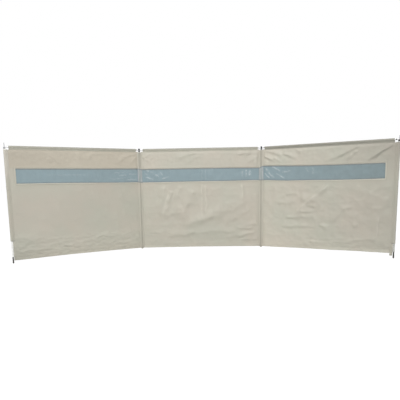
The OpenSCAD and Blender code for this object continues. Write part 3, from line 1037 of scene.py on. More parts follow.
def make_stitching(bay):
    """All the seams of a bay, on its front and on its back."""
    hem_end = (bay.width - SEAM if bay is MIDDLE else bay.last) - 0.003
    long_s = np.linspace(SEAM + 0.003, hem_end, 400)
    ridge_low, ridge_high = bay.span(f"ridge_pocket_{bay.side}")
    ridge_s = np.linspace(ridge_low + 0.003, ridge_high - 0.003, 400)
    film_last = bay.film_end + (0 if bay is MIDDLE else TAPE / 2 - TAPE_LAP)
    film_s = np.linspace(SEAM, film_last, 400)
    seam_z = np.linspace(HEM_Z + 0.005, SLEEVE_TOP - 0.004, 300)
    outer_z = np.linspace(SLEEVE_LOW[bay.outer] + 0.005, SLEEVE_TOP - 0.004, 260)
    edge_z = np.linspace(HEM_TOP, SLEEVE_LOW[bay.outer] - 0.004, 60)
    end_z = np.linspace(FILM_Z, FILM_TOP, 60)
    seam_stand = LAYER + ON_CLOTH
    rows = []
    for side in (1, -1):
        stand = TAPE_STAND + ON_CLOTH if side > 0 else ON_CLOTH
        rows += [
            bay_row(bay, ridge_s, BAND_Z - 0.002, seam_stand, side),
            bay_row(bay, SEAM, seam_z, seam_stand, side),
            bay_row(bay, bay.width - SEAM, outer_z, seam_stand, side),
            bay_row(bay, long_s, HEM_TOP - 0.004, HEM_STAND + 0.0004, side),
            bay_row(bay, film_s, FILM_TOP - TAPE_LAP + TAPE / 2, stand, side, True),
            bay_row(bay, film_s, FILM_Z + TAPE_LAP - TAPE / 2, stand, side, True),
        ]
        if bay is not MIDDLE:
            rows.append(bay_row(bay, bay.last - 0.004, edge_z, ON_CLOTH, side))
            rows.append(bay_row(bay, film_last, end_z, stand, side, True))
    corners, faces = [], []
    for points, out in rows:
        new_corners, new_faces = stitch_row(points, out)
        first = sum(len(c) for c in corners)
        corners.append(new_corners)
        faces.extend(tuple(i + first for i in face) for face in new_faces)
    piece = built(f"stitching_{bay.side}", np.concatenate(corners), faces)
    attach(piece, bay.body)
    return piece


stitching = [make_stitching(bay) for bay in BAYS]


# ---- turned and pressed metal, and rubber ----

def draw_ring(move, size, middle):
    """Extrudes the chosen ring by a move, then sizes it about its new middle."""
    bpy.ops.mesh.extrude_region_move(TRANSFORM_OT_translate={"value": move})
    bpy.ops.transform.resize(value=size, center_override=middle)


def first_ring(name, sides, radius, **placing):
    """A new piece with one ring, chosen, from which further rings can be drawn."""
    deselect_all()
    bpy.ops.mesh.primitive_circle_add(vertices=sides, radius=radius, **placing)
    piece = bpy.context.object
    piece.name = name
    bpy.ops.object.transform_apply(location=True, rotation=True, scale=True)
    bpy.ops.object.mode_set(mode="EDIT")
    bpy.ops.mesh.select_all(action="SELECT")
    return piece


def end_rings():
    """Leaves a piece after its last ring, with its faces turned outwards."""
    bpy.ops.mesh.select_all(action="SELECT")
    bpy.ops.mesh.normals_make_consistent(inside=False)
    bpy.ops.object.mode_set(mode="OBJECT")


def turned(name, axis, profile, sides=32):
    """A round piece: a ring drawn up step by step through the radii and heights of its profile."""
    radius, height = profile[0]
    piece = first_ring(name, sides, radius, location=(axis.x, axis.y, height))
    bpy.ops.mesh.edge_face_add()
    bpy.ops.mesh.select_all(action="SELECT")
    for next_radius, next_height in profile[1:]:
        share = next_radius / radius
        draw_ring((0, 0, next_height - height), (share, share, 1), (axis.x, axis.y, next_height))
        radius, height = next_radius, next_height
    end_rings()
    bpy.ops.object.shade_smooth_by_angle(angle=math.radians(35))
    return piece


POLE_BODY = {1: "left_bay", 2: "middle_bay", 3: "middle_bay", 4: "right_bay"}


def fitted(name, number, profile, node, sides=32):
    """A turned piece on the axis of a pole, in place of one of its nodes."""
    piece = turned(f"{name}_{number}", pole_axis(number), profile, sides)
    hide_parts(f"{node}_{number}")
    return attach(piece, POLE_BODY[number])


COLLAR_H = 0.014    # height of a collar, and thickness of the eye of a bar that sits on it
EYE_T = 0.003
PIN_R = 0.0040      # the pin where it goes through the eyes, and its free end
TIP_R = 0.0035


def collar_profile(seat):
    """The collar under the bar ends, with a groove round it, and the pin up through them."""
    foot = seat - COLLAR_H
    r = COLLAR_R
    step = seat + 2 * EYE_T + 0.0012
    return [
        (r * 0.90, foot), (r, foot + 0.0012), (r, foot + 0.0045), (r - 0.0009, foot + 0.0052),
        (r - 0.0009, foot + 0.0066), (r, foot + 0.0073), (r, seat - 0.0016), (r - 0.0005, seat - 0.0006),
        (r - 0.0016, seat), (PIN_R + 0.0004, seat), (PIN_R, seat + 0.0004), (PIN_R, step - 0.0004),
    ]


def make_collar(number):
    """Collar on an outer pole's end, under the eye of the bar."""
    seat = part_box(f"spigot_{number}")[0].z + COLLAR_H
    profile = collar_profile(seat)[:-1] + [(PIN_R * 0.9, seat + 0.0005), (PIN_R * 0.2, seat + 0.0005)]
    return fitted("collar", number, profile, "spigot")


def make_pin(number):
    """Bright pin up through the eye of an end bar, with a thinner end for a guy line."""
    low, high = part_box(f"spigot_{number}")
    seat, tip = low.z + COLLAR_H, high.z
    step = seat + 2 * EYE_T + 0.0012
    profile = [
        (PIN_R * 0.2, seat - 0.004), (PIN_R - 0.0001, seat - 0.004), (PIN_R - 0.0001, step - 0.0004),
        (TIP_R, step), (TIP_R, tip - 0.0018), (TIP_R - 0.0006, tip - 0.0007), (TIP_R - 0.0016, tip - 0.0001),
        (TIP_R * 0.2, tip),
    ]
    return fitted("pin", number, profile, "spigot")


def make_capped_spigot(number):
    """Collar on an inner pole's end, with the pin through two bar ends and the cap over them."""
    low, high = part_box(f"spigot_{number}")
    seat, tip = low.z + COLLAR_H, high.z
    r = COLLAR_R - 0.0005
    under = seat + 2 * EYE_T + 0.0014
    profile = collar_profile(seat) + [
        (PIN_R, under - 0.0001), (r - 0.0014, under), (r - 0.0003, under + 0.0006), (r, under + 0.0016),
        (r, under + 0.0058), (r - 0.0007, under + 0.0064), (r - 0.0007, under + 0.0076),
        (r, under + 0.0082), (r - 0.0001, tip - 0.0045), (r - 0.0008, tip - 0.0024),
        (r - 0.0024, tip - 0.0009), (r - 0.0046, tip - 0.0002), (r * 0.2, tip),
    ]
    return fitted("spigot_cap", number, profile, "spigot", 40)


def make_rubber_foot(number):
    """Long rubber foot pushed into the end of an outer pole, ribbed at its base."""
    r, h = FOOT_R, FOOT_H
    profile = [(r * 0.72, 0), (r * 0.9, 0.0007), (r, 0.0030)]
    for rib in range(4):
        base = 0.0062 + 0.0056 * rib
        profile += [(r, base), (r - 0.0009, base + 0.0007), (r - 0.0009, base + 0.0015), (r, base + 0.0022)]
    profile += [
        (r, 0.0290), (r - 0.0008, 0.0305), (r - 0.0012, h - 0.0066), (r - 0.0003, h - 0.0052),
        (r, h - 0.0040), (r, h - 0.0006), (r - 0.0006, h + 0.0004), (r * 0.2, h + 0.0004),
    ]
    return fitted("rubber_foot", number, profile, "foot")


def make_sleeve_end(number):
    """Closed end of an inner sleeve: its fabric drawn together under the pole and sewn shut."""
    axis = pole_axis(number)
    r = CUP_R
    profile = [
        (0.0015, 0.0010), (r * 0.60, 0.0008), (r * 0.80, 0.0014), (r * 0.93, 0.0028), (r * 0.98, 0.0055),
        (r * 0.97, 0.0085), (r * 0.93, 0.0115), (r * 0.90, 0.0140), (r * 0.88, 0.0165), (r * 0.88, 0.0260),
    ]
    line = np.array([complex(*corner) for corner in profile])
    gone = gone_along(line)
    across = np.linspace(0, 2 * math.pi * r, 73)

    def place(u, v):
        at = along_line(line, gone, v)
        way = u / r
        tuck = np.sin(9 * way + 40 * at.imag) * smooth((at.real / r - 0.2) / 0.4)
        radius = at.real - 0.0003 * (1 + tuck) * (1 - smooth((at.imag - HEM_Z) / 0.005))
        return np.stack([axis.x + radius * np.cos(way), axis.y + radius * np.sin(way), at.imag], -1)

    def aim(middles):
        return middles - np.array([axis.x, axis.y, 0.012])

    piece = thicken(sheet(f"sleeve_end_{number}", across, stations(gone, 0.0015), place, aim), CLOTH)
    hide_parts(f"foot_{number}")
    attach(piece, "middle_bay")
    return piece


def make_bar(bay, eye_z):
    """Ridge bar: a tube with its ends pressed flat into eyes that sit on the pins."""
    half = bay.width / 2
    level = eye_z + EYE_T / 2 - BAR_Z
    flat = EYE_T / 2
    r = BAR_R
    # For each ring: how far short of the pole, half its width and height, and how far it has sunk
    # from the height of the bar to that of the eye
    steps = [
        (0.0320, r, r, 0.0), (0.0290, r * 1.01, r * 0.93, 0.06), (0.0255, r * 1.04, r * 0.66, 0.36),
        (0.0220, r * 1.0, r * 0.36, 0.74), (0.0190, r * 0.9, flat * 1.2, 0.96), (0.0160, r * 0.84, flat, 1),
        (0.0100, r * 0.88, flat, 1), (0.0060, 0.0095, flat, 1), (0.0020, 0.0108, flat, 1),
        (-0.0020, 0.0108, flat, 1), (-0.0060, 0.0092, flat, 1), (-0.0090, 0.0063, flat * 0.9, 1),
        (-0.0105, 0.0033, flat * 0.8, 1), (-0.0109, 0.0010, flat * 0.6, 1),
    ]
    piece = first_ring(f"bar_{bay.side}", 32, r, rotation=(0, math.pi / 2, 0))
    x, wide, high, drop = 0.0, r, r, 0.0
    for before_pole, next_wide, next_high, next_drop in steps:
        next_x = half - before_pole
        move = (next_x - x, 0, (next_drop - drop) * level)
        draw_ring(move, (1, next_wide / wide, next_high / high), (next_x, 0, next_drop * level))
        x, wide, high, drop = next_x, next_wide, next_high, next_drop
    bpy.ops.mesh.edge_face_add()
    end_rings()
    apply_modifier(piece, "MIRROR", use_mirror_merge=True, merge_threshold=0.0002)
    for end in (-half, half):
        deselect_all()
        place = (end, 0, level)
        bpy.ops.mesh.primitive_cylinder_add(vertices=28, radius=PIN_R + 0.0003, depth=0.02, location=place)
        drill = bpy.context.object
        apply_modifier(piece, "BOOLEAN", operation="DIFFERENCE", object=drill, solver="EXACT")
        bpy.data.objects.remove(drill)
    pick(piece)
    bpy.ops.object.shade_smooth_by_angle(angle=math.radians(40))
    middle = bay.inner + bay.along * half
    turn = Matrix.Rotation(heading(bay.along), 4, "Z")
    piece.data.transform(Matrix.Translation((middle.x, middle.y, BAR_Z)) @ turn)
    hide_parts(f"ridge_bar_{bay.side}")
    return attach(piece, bay.body)


lower_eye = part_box("spigot_2")[0].z + COLLAR_H
upper_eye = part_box("spigot_1")[0].z + COLLAR_H
pins = [make_pin(1), make_pin(4)]
bright_collar = make_collar(1)
dark_collars = [make_capped_spigot(2), make_capped_spigot(3), make_collar(4)]
feet = [make_rubber_foot(1), make_rubber_foot(4)]
sleeve_ends = [make_sleeve_end(2), make_sleeve_end(3)]
bars = [make_bar(LEFT, upper_eye), make_bar(MIDDLE, lower_eye), make_bar(RIGHT, upper_eye)]


# ---- materials ----

SOIL = (0.33, 0.29, 0.21)
POLE_SHADE_TONE = (0.24, 0.225, 0.18)        # painted shade where the cloth lies on a pole
DARK_PAINT = (0.035, 0.035, 0.034)
BLACK_RUBBER = (0.03, 0.03, 0.029)
POLE_3_X = pole_axis(3).x


class Finish:
    """A material under way, with short ways to add and join its nodes."""

    def __init__(self, name, colour, roughness, metallic=0.0):
        self.material = bpy.data.materials.new(name)
        self.material.use_nodes = True
        self.tree = self.material.node_tree
        self.shader = self.tree.nodes["Principled BSDF"]
        self.shader.inputs["Base Color"].default_value = (*colour, 1)
        self.shader.inputs["Roughness"].default_value = roughness
        self.shader.inputs["Metallic"].default_value = metallic
        self.height = None

    def add(self, kind, **values):
        node = self.tree.nodes.new("ShaderNode" + kind)
        for key, value in values.items():
            if hasattr(node, key):
                setattr(node, key, value)
            else:
                node.inputs[key.replace("_", " ")].default_value = value
        return node

    def join(self, source, target):
        self.tree.links.new(source, target)

    def stretched(self, place, stretch):
        spread = self.add("Mapping")
        spread.inputs["Scale"].default_value = stretch
        self.join(place, spread.inputs["Vector"])
        return spread.outputs["Vector"]

    def flat_place(self, stretch=(1, 1, 1)):
        """Metres along and up the piece's own cloth."""
        return self.stretched(self.add("UVMap", uv_map="Flat").outputs["UV"], stretch)

    def solid_place(self, stretch=(1, 1, 1)):
        """Metres in the frame."""
        return self.stretched(self.add("TexCoord").outputs["Object"], stretch)

    def parts(self, place):
        """The X, Y and Z of a place."""
        node = self.add("SeparateXYZ")
        self.join(place, node.inputs["Vector"])
        return node.outputs

    def noise(self, place, scale, detail=3.0, roughness=0.55):
        node = self.add("TexNoise", Scale=scale, Detail=detail, Roughness=roughness)
        self.join(place, node.inputs["Vector"])
        return node.outputs["Fac"]

    def spread(self, value, low, high, to_low, to_high):
        node = self.add("MapRange", From_Min=low, From_Max=high, To_Min=to_low, To_Max=to_high)
        self.join(value, node.inputs["Value"])
        return node.outputs["Result"]

    def product(self, a, b):
        return self.sum(a, b, "MULTIPLY")

    def sum(self, a, b, operation="ADD"):
        node = self.add("Math", operation=operation)
        for given, target in ((a, node.inputs[0]), (b, node.inputs[1])):
            if isinstance(given, (int, float)):
                target.default_value = given
            else:
                self.join(given, target)
        return node.outputs["Value"]

    def tint(self, share, first, second):
        """A colour between two, by a share."""
        node = self.add("Mix", data_type="RGBA")
        self.join(share, node.inputs["Factor"])
        for given, target in ((first, node.inputs[6]), (second, node.inputs[7])):
            if isinstance(given, tuple):
                target.default_value = (*given, 1)
            else:
                self.join(given, target)
        return node.outputs[2]

    def bump(self, height, distance, strength=1.0):
        node = self.add("Bump", Strength=strength, Distance=distance)
        self.join(height, node.inputs["Height"])
        if self.height is not None:
            self.join(self.height, node.inputs["Normal"])
        self.height = node.outputs["Normal"]
        self.join(self.height, self.shader.inputs["Normal"])

    def set(self, name, source):
        self.join(source, self.shader.inputs[name])


def weave(finish, place, pitch):
    """Threads that cross over and under each other, as a height from 0 to 1."""
    scale = 0.314 / pitch
    across = finish.add("TexWave", bands_direction="X", Scale=scale)
    up = finish.add("TexWave", bands_direction="Y", Scale=scale)
    finish.join(place, across.inputs["Vector"])
    finish.join(place, up.inputs["Vector"])
    return finish.product(across.outputs["Fac"], up.outputs["Fac"])


def soft_shade(finish, base, room, bay, near, far, corner, low=0.0, foot=0.0):
    """The cloth's colour with painted light and shade: lighter or darker from near at the inner pole to far
    at the outer one, painted shade there by corner at the top and by foot at the bottom, and painted light
    by low near the ground."""
    place = finish.parts(room)
    inner, outer = bay.inner.x, bay.inner.x + bay.along.x * bay.width
    along = finish.spread(place["X"], inner, outer, near, far)
    out = finish.spread(place["X"], inner + 0.55 * (outer - inner), outer, 0, corner)
    up = finish.spread(place["Z"], 0.85, 1.15, 0, 1)
    keep = finish.sum(1, finish.product(out, up), "SUBTRACT")
    keep = finish.sum(keep, finish.spread(place["Z"], 0.05, 0.55, low, 0))
    if foot:
        out = finish.spread(place["X"], inner + 0.70 * (outer - inner), outer, 0, foot)
        down = finish.spread(place["Z"], 0.05, 0.30, 1, 0)
        keep = finish.sum(keep, finish.product(out, down), "SUBTRACT")
    scale = finish.add("VectorMath", operation="SCALE")
    finish.join(base, scale.inputs[0])
    finish.join(finish.product(along, keep), scale.inputs["Scale"])
    return scale.outputs["Vector"]


def coated_cloth(name, colours, dirt=0.0, pole_shade=0.0, shade=None, top=None):
    """Woven polyester with a satin coating, a little uneven in its colour. dirt is how soiled it is near the
    ground, and the share after it is how much painted shade falls where the cloth lies on a pole. shade is
    the bay and the painted light and shade of soft_shade. top is where it changes towards another tone
    higher up, how far, and that tone, which serves for a warmer tint and for painted light and shade."""
    colour, warm, green = colours
    finish = Finish(name, colour, 0.5)
    flat = finish.flat_place()
    room = finish.solid_place()
    broad = finish.spread(finish.noise(room, 2.3, 2.0), 0.35, 0.65, 0, 1)
    base = finish.tint(broad, warm, green)
    patch = finish.spread(finish.noise(room, 11, 3.0), 0.3, 0.7, 0, 1)
    base = finish.tint(finish.product(patch, 0.35), base, colour)
    fine = finish.spread(finish.noise(flat, 420, 2.0), 0.3, 0.7, 0, 0.10)
    base = finish.tint(fine, base, tuple(c * 0.72 for c in colour))
    if dirt:
        low = finish.spread(finish.parts(room)["Z"], HEM_Z, HEM_Z + 0.16, 1, 0)
        spots = finish.spread(finish.noise(room, 26, 5.0, 0.7), 0.38, 0.72, 0.15, 1)
        base = finish.tint(finish.product(finish.product(low, spots), dirt), base, SOIL)
    if top:
        start, full, share, tone = top
        base = finish.tint(finish.spread(finish.parts(room)["Z"], start, full, 0, share), base, tone)
    # Painted shade where the cloth lies on a pole, as if the pole behind the thin cloth kept light from
    # coming through
    if pole_shade:
        mark = finish.add("Attribute", attribute_name="pole_shade").outputs["Fac"]
        share = finish.product(mark, finish.spread(patch, 0, 1, 0.8 * pole_shade, pole_shade))
        base = finish.tint(share, base, POLE_SHADE_TONE)
    # Painted highlight along the pressed creases, where their ridges catch the light
    pressed = finish.add("Attribute", attribute_name="pressed").outputs["Fac"]
    base = finish.tint(finish.product(pressed, 0.5), base, tuple(1.22 * c for c in colour))
    if shade:
        base = soft_shade(finish, base, room, *shade)
    finish.set("Base Color", base)
    finish.set("Roughness", finish.spread(patch, 0, 1, 0.46, 0.60))
    finish.shader.inputs["Specular IOR Level"].default_value = 0.35
    finish.shader.inputs["Sheen Weight"].default_value = 0.08
    finish.bump(finish.noise(flat, 60, 3.0), 0.0006, 0.35)
    finish.bump(weave(finish, flat, 0.0016), 0.0002, 0.5)
    return finish.material


def tinted_film(name, colour, right_shade_colour, alpha, streaks=None):
    """Blue-tinted clear film, glossy, with the fine ripples of soft plastic. It nears its second colour
    towards the right end, as painted shade, and streaks is the tone of its upright streaks."""
    finish = Finish(name, colour, 0.16)
    flat = finish.flat_place()
    stretched = finish.flat_place((1, 0.35, 1))
    haze = finish.spread(finish.noise(flat, 9, 4.0), 0.3, 0.7, 0, 1)
    # Painted shade: darker towards the right end
    to_right = finish.parts(finish.solid_place())["X"]
    right = finish.spread(to_right, POLE_3_X + 0.15, POLE_3_X + 1.25, 0, 1)
    base = finish.tint(right, colour, right_shade_colour)
    paler = tuple(min(1, c * 1.18 + 0.01) for c in colour)
    base = finish.tint(finish.product(haze, 0.3), base, paler)
    if streaks:
        upright = finish.noise(finish.flat_place((1, 0.08, 1)), 45, 2.0)
        base = finish.tint(finish.spread(upright, 0.42, 0.58, 0, 0.8), base, streaks)
    # Painted shade along the top and bottom edges of the film, where it meets the tape
    up = finish.parts(flat)["Y"]
    upper = finish.spread(up, FILM_TOP - 0.018, FILM_TOP - 0.010, 0, 0.8)
    lower = finish.spread(up, FILM_Z + 0.017, FILM_Z + 0.009, 0, 0.6)
    base = finish.tint(finish.sum(upper, lower, "MAXIMUM"), base, (0.24, 0.27, 0.275))
    # Crease lines: the film's own whitening together with painted glints, lighter and more opaque
    crease_white_and_glint = finish.add("Attribute", attribute_name="crease_white_and_glint").outputs["Fac"]
    finish.set("Base Color", finish.tint(crease_white_and_glint, base, (0.72, 0.78, 0.80)))
    finish.set("Roughness", finish.spread(finish.noise(flat, 30, 4.0), 0.3, 0.7, 0.11, 0.26))
    clear = finish.spread(haze, 0, 1, alpha - 0.02, alpha + 0.02)
    finish.set("Alpha", finish.sum(clear, crease_white_and_glint, "MAXIMUM"))
    finish.bump(finish.noise(stretched, 34, 2.0), 0.0016, 0.30)
    finish.bump(finish.noise(flat, 160, 3.0), 0.0003, 0.25)
    return finish.material


def zinc_steel(name, colour, roughness):
    """Zinc-plated steel tube, drawn along its length, with dull patches and faint scuffs."""
    finish = Finish(name, colour, roughness, 1.0)
    room = finish.solid_place()
    drawn = finish.solid_place((1, 1, 0.05))
    patch = finish.spread(finish.noise(room, 60, 5.0), 0.35, 0.65, 0, 1)
    lines = finish.noise(drawn, 900, 2.0)
    dull = tuple(c * 0.78 for c in colour)
    scuff = finish.spread(finish.noise(drawn, 130, 6.0, 0.75), 0.60, 0.72, 0, 0.6)
    base = finish.tint(finish.product(patch, 0.5), colour, dull)
    finish.set("Base Color", finish.tint(scuff, base, (0.30, 0.29, 0.27)))
    finish.set("Roughness", finish.spread(patch, 0, 1, roughness - 0.06, roughness + 0.10))
    finish.bump(lines, 0.0001, 0.35)
    return finish.material


def dark_metal():
    """Dark matt paint on steel, with bright worn edges."""
    finish = Finish("Dark spigot", DARK_PAINT, 0.6)
    room = finish.solid_place()
    worn = finish.spread(finish.noise(room, 260, 5.0, 0.7), 0.60, 0.68, 0, 0.75)
    finish.set("Base Color", finish.tint(worn, DARK_PAINT, (0.22, 0.21, 0.20)))
    finish.set("Roughness", finish.spread(finish.noise(room, 90, 3.0), 0.3, 0.7, 0.52, 0.70))
    finish.shader.inputs["Specular IOR Level"].default_value = 0.04
    finish.bump(finish.noise(room, 500, 2.0), 0.0001, 0.4)
    return finish.material


def foot_rubber():
    """Matt black rubber, dusty at the bottom."""
    finish = Finish("Foot rubber", BLACK_RUBBER, 0.8)
    room = finish.solid_place()
    low = finish.spread(finish.parts(room)["Z"], 0, FOOT_H, 0.8, 0.05)
    spots = finish.spread(finish.noise(room, 300, 4.0, 0.7), 0.4, 0.7, 0, 1)
    dust = finish.product(low, spots)
    finish.set("Base Color", finish.tint(dust, BLACK_RUBBER, (0.16, 0.14, 0.11)))
    finish.set("Roughness", finish.spread(spots, 0, 1, 0.7, 0.92))
    finish.bump(finish.noise(room, 900, 2.0), 0.0001, 0.5)
    return finish.material


def webbing():
    """Ribbed webbing, woven across its width."""
    finish = Finish("Peg webbing", (0.44, 0.42, 0.35), 0.8)
    flat = finish.flat_place()
    ribs = finish.add("TexWave", bands_direction="Y", Scale=0.314 / 0.0018)
    cords = finish.add("TexWave", bands_direction="X", Scale=0.314 / 0.0030)
    for node in (ribs, cords):
        finish.join(flat, node.inputs["Vector"])
    woven = finish.product(ribs.outputs["Fac"], cords.outputs["Fac"])
    shade = finish.spread(woven, 0, 1, 0.30, 0)
    wear = finish.spread(finish.noise(flat, 150, 4.0), 0.35, 0.7, 0, 0.4)
    base = finish.tint(shade, (0.54, 0.52, 0.44), (0.36, 0.34, 0.28))
    finish.set("Base Color", finish.tint(wear, base, (0.46, 0.43, 0.35)))
    finish.set("Roughness", finish.spread(woven, 0, 1, 0.9, 0.7))
    finish.bump(woven, 0.0004, 0.8)
    return finish.material


def thread():
    """Pale polyester thread, twisted."""
    finish = Finish("Seam thread", (0.50, 0.48, 0.40), 0.6)
    room = finish.solid_place()
    twist = finish.noise(room, 1500, 2.0)
    finish.set("Base Color", finish.tint(twist, (0.42, 0.40, 0.33), (0.60, 0.57, 0.49)))
    finish.set("Roughness", finish.spread(twist, 0.3, 0.7, 0.5, 0.75))
    finish.bump(twist, 0.0001, 0.5)
    return finish.material


def finish_with(material, *pieces):
    for piece in pieces:
        piece.data.materials.clear()
        piece.data.materials.append(material)


def darken_bar_end(bar, bay, material):
    """The flattened outer end of a bar, given the dark spigot material."""
    bar.data.materials.append(material)
    for face in bar.data.polygons:
        if (face.center - bay.inner).dot(bay.along) > bay.width - 0.045:
            face.material_index = 1


BEIGE = [(0.538, 0.510, 0.438), (0.558, 0.515, 0.436), (0.523, 0.514, 0.432)]
# The ridge cloths are darker than the bay cloth as painted shade of the band round the bar, and the right
# bay's is darker still as more painted shade
RIDGE = [(0.505, 0.492, 0.415), (0.515, 0.497, 0.415), (0.495, 0.487, 0.410)]
SHADED_RIDGE = [(0.345, 0.335, 0.285), (0.355, 0.340, 0.285), (0.335, 0.330, 0.280)]


def toned(share):
    """The beige of the coated cloth, lighter or darker, with its warm and greenish patches."""
    return [tuple(c * share for c in colour) for colour in BEIGE]


# Where a cloth changes to another tone higher up: from, to, how far, and the tone
# Painted shadow on the cloth just under the ridge sleeve
BAND_SHADE = (BAND_Z - 0.012, BAND_Z - 0.002, 0.3, (0.16, 0.153, 0.131))
# Painted shade on the upper half of the ridge sleeve, where the lamp lights it most
RIDGE_SHADE = (BAR_Z - 0.004, BAR_Z + 0.006, 0.38, (0.150, 0.146, 0.122))
WARM_TOP = (FILM_TOP - 0.01, FILM_TOP + 0.02, 0.9, (0.546, 0.494, 0.404))
# Painted light on the upper part of the end sleeve
PALE_TOP = (0.88, 0.96, 0.9, (0.600, 0.565, 0.490))

# Painted light and shade that soft_shade gives an end bay
LEFT_PAINTED_LIGHT = (LEFT, 1.01, 0.97, 0.12, 0.06, 0.16)
RIGHT_PAINTED_LIGHT = (RIGHT, 1.11, 0.875, 0.17, 0.07)
RIGHT_HEM_PAINTED_LIGHT = (RIGHT, 1.06, 0.95, 0)
# The middle bay's cloth is a lighter copy, as painted light; the end bays get painted light and shade
# through soft_shade
BAY_CLOTH = {
    LEFT: coated_cloth("Coated cloth left", toned(1), dirt=0.30, shade=LEFT_PAINTED_LIGHT, top=WARM_TOP),
    MIDDLE: coated_cloth("Coated cloth middle", toned(1.03)),
    RIGHT: coated_cloth("Coated cloth right", toned(1), shade=RIGHT_PAINTED_LIGHT, top=BAND_SHADE),
}
# The middle and right hem cloths are lighter copies of the bay cloth: partly the doubled cloth, partly
# painted light near the ground
HEM_CLOTH = {
    LEFT: BAY_CLOTH[LEFT],
    MIDDLE: coated_cloth("Hem cloth middle", toned(1.08)),
    RIGHT: coated_cloth("Hem cloth right", toned(1.10), shade=RIGHT_HEM_PAINTED_LIGHT),
}
sleeve_cloth = coated_cloth("Sleeve cloth", toned(1), dirt=0.15, pole_shade=0.45)
tape_cloth = coated_cloth("Tape cloth", toned(1.06))
ridge_cloth = coated_cloth("Ridge cloth", RIDGE, top=RIDGE_SHADE)
shaded_ridge_cloth = coated_cloth("Ridge cloth in painted shade", SHADED_RIDGE)
for bay, cloth, hem in zip(BAYS, cloths, hems):
    finish_with(BAY_CLOTH[bay], cloth)
    finish_with(HEM_CLOTH[bay], hem)
finish_with(tape_cloth, *tapes)
finish_with(coated_cloth("End sleeve cloth", toned(0.98), top=PALE_TOP), pole_sleeves[0])
finish_with(BAY_CLOTH[RIGHT], pole_sleeves[3])
finish_with(sleeve_cloth, pole_sleeves[1], pole_sleeves[2], *sleeve_ends)
finish_with(ridge_cloth, ridge_sleeves[0], ridge_sleeves[1])
finish_with(shaded_ridge_cloth, ridge_sleeves[2])
finish_with(tinted_film("Window film", (0.279, 0.370, 0.400), (0.203, 0.260, 0.266), 0.85), *films)
over_sleeve = tinted_film(
    "Window film over a sleeve", (0.430, 0.455, 0.470), (0.42, 0.45, 0.45), 0.95,
    streaks=(0.29, 0.345, 0.325),
)
finish_with(over_sleeve, *crossings)
finish_with(webbing(), peg_loop)
finish_with(thread(), *stitching)
finish_with(zinc_steel("Bar steel", (0.66, 0.66, 0.65), 0.30), *bars)
dark = dark_metal()
finish_with(dark, *dark_collars)
darken_bar_end(bars[2], RIGHT, dark)
# Painted light: the first pole's steel is a lighter copy of the pole steel
lit_pole_steel = zinc_steel("Pole steel in painted light", (0.85, 0.85, 0.83), 0.5)
finish_with(foot_rubber(), *feet)
pole_steel = zinc_steel("Pole steel", (0.62, 0.62, 0.605), 0.48)
# Painted shade: the last pole's steel is a darker copy of the pole steel
shaded_pole_steel = zinc_steel("Pole steel in painted shade", (0.50, 0.50, 0.465), 0.50)
finish_with(zinc_steel("Pin steel", (0.38, 0.38, 0.39), 0.40), bright_collar, *pins)
finish_with(lit_pole_steel, NODES["pole_1"])
finish_with(pole_steel, NODES["pole_2"], NODES["pole_3"])
finish_with(shaded_pole_steel, NODES["pole_4"])


# ---- floor, light and camera ----

def seen_rays(tree, rays):
    """1 for the rays that show the background: to the camera, in metal and through clear pieces."""
    seen = rays.outputs["Is Camera Ray"]
    for kind in ("Is Glossy Ray", "Is Transmission Ray"):
        node = tree.nodes.new("ShaderNodeMath")
        node.operation = "MAXIMUM"
        tree.links.new(seen, node.inputs[0])
        tree.links.new(rays.outputs[kind], node.inputs[1])
        seen = node.outputs["Value"]
    return seen


def make_floor():
    """Plain pale floor that keeps the shadow."""
    bpy.ops.mesh.primitive_plane_add(size=80, location=(0, 0, -0.0005))
    floor = bpy.context.object
    floor.name = "floor"
    material = bpy.data.materials.new("Pale floor")
    material.use_nodes = True
    tree = material.node_tree
    shader = tree.nodes["Principled BSDF"]
    shader.inputs["Base Color"].default_value = (0.80, 0.80, 0.80, 1)
    shader.inputs["Roughness"].default_value = 0.9
    shader.inputs["Specular IOR Level"].default_value = 0.0
    glow = tree.nodes.new("ShaderNodeEmission")
    glow.inputs["Strength"].default_value = 1.20
    rays = tree.nodes.new("ShaderNodeLightPath")
    seen = seen_rays(tree, rays)
    share = tree.nodes.new("ShaderNodeMath")
    share.operation = "MULTIPLY"
    share.inputs[1].default_value = 0.80
    tree.links.new(seen, share.inputs[0])
    blend = tree.nodes.new("ShaderNodeMixShader")
    tree.links.new(share.outputs["Value"], blend.inputs["Fac"])
    tree.links.new(shader.outputs["BSDF"], blend.inputs[1])
    tree.links.new(glow.outputs["Emission"], blend.inputs[2])
    tree.links.new(blend.outputs["Shader"], tree.nodes["Material Output"].inputs["Surface"])
    floor.data.materials.append(material)


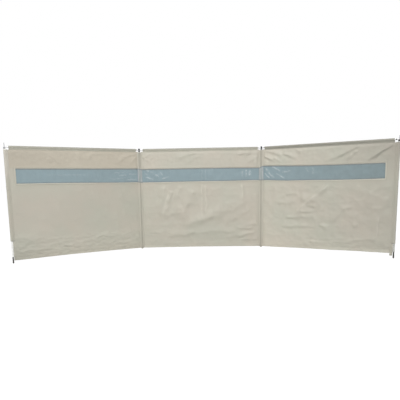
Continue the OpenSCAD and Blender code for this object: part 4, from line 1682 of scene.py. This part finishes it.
def make_world():
    world = bpy.data.worlds.new("Studio")
    bpy.context.scene.world = world
    world.use_nodes = True
    tree = world.node_tree
    soft = tree.nodes["Background"]
    soft.inputs["Color"].default_value = (0.97, 0.985, 1.0, 1)
    soft.inputs["Strength"].default_value = 0.30
    white = tree.nodes.new("ShaderNodeBackground")
    white.inputs["Color"].default_value = (1, 1, 1, 1)
    white.inputs["Strength"].default_value = 1.0
    rays = tree.nodes.new("ShaderNodeLightPath")
    blend = tree.nodes.new("ShaderNodeMixShader")
    tree.links.new(seen_rays(tree, rays), blend.inputs["Fac"])
    tree.links.new(soft.outputs["Background"], blend.inputs[1])
    tree.links.new(white.outputs["Background"], blend.inputs[2])
    tree.links.new(blend.outputs["Shader"], tree.nodes["World Output"].inputs["Surface"])


def make_lamp(name, place, aim, size, power):
    lamp = bpy.data.lights.new(name, "AREA")
    lamp.shape = "RECTANGLE"
    lamp.size, lamp.size_y = size
    lamp.energy = power
    stand = bpy.data.objects.new(name, lamp)
    stand.location = place
    stand.rotation_mode = "QUATERNION"
    stand.rotation_quaternion = (Vector(aim) - Vector(place)).to_track_quat("-Z", "Y")
    bpy.context.scene.collection.objects.link(stand)


def make_camera():
    """Camera in front of the middle bay, at about the height of the window."""
    camera = bpy.data.cameras.new("camera")
    camera.sensor_width = 36
    camera.lens = 34.83
    camera.shift_x = 0.0150
    camera.shift_y = 0.0772
    stand = bpy.data.objects.new("camera", camera)
    bpy.context.scene.collection.objects.link(stand)
    yaw = Matrix.Rotation(math.radians(1.112), 4, "Z")
    pitch = Matrix.Rotation(math.radians(-7.65), 4, "X")
    roll = Matrix.Rotation(math.radians(1.007), 4, "Y")
    level = Matrix.Rotation(math.radians(90), 4, "X")
    stand.matrix_world = Matrix.Translation((0.0025, -4.4412, 0.8663)) @ yaw @ pitch @ roll @ level
    bpy.context.scene.camera = stand


make_floor()
make_world()
make_lamp("high softbox", (-0.9, -4.6, 5.6), (0, 0, 0.7), (2.6, 1.6), 285)
make_lamp("front softbox", (0.8, -7.5, 2.6), (0, 0, 0.7), (2.4, 1.2), 52)
make_lamp("back softbox", (1.5, 5.5, 3.8), (0, 0, 0.7), (3.6, 2.2), 104)
make_camera()
bpy.context.scene.view_settings.view_transform = "Standard"
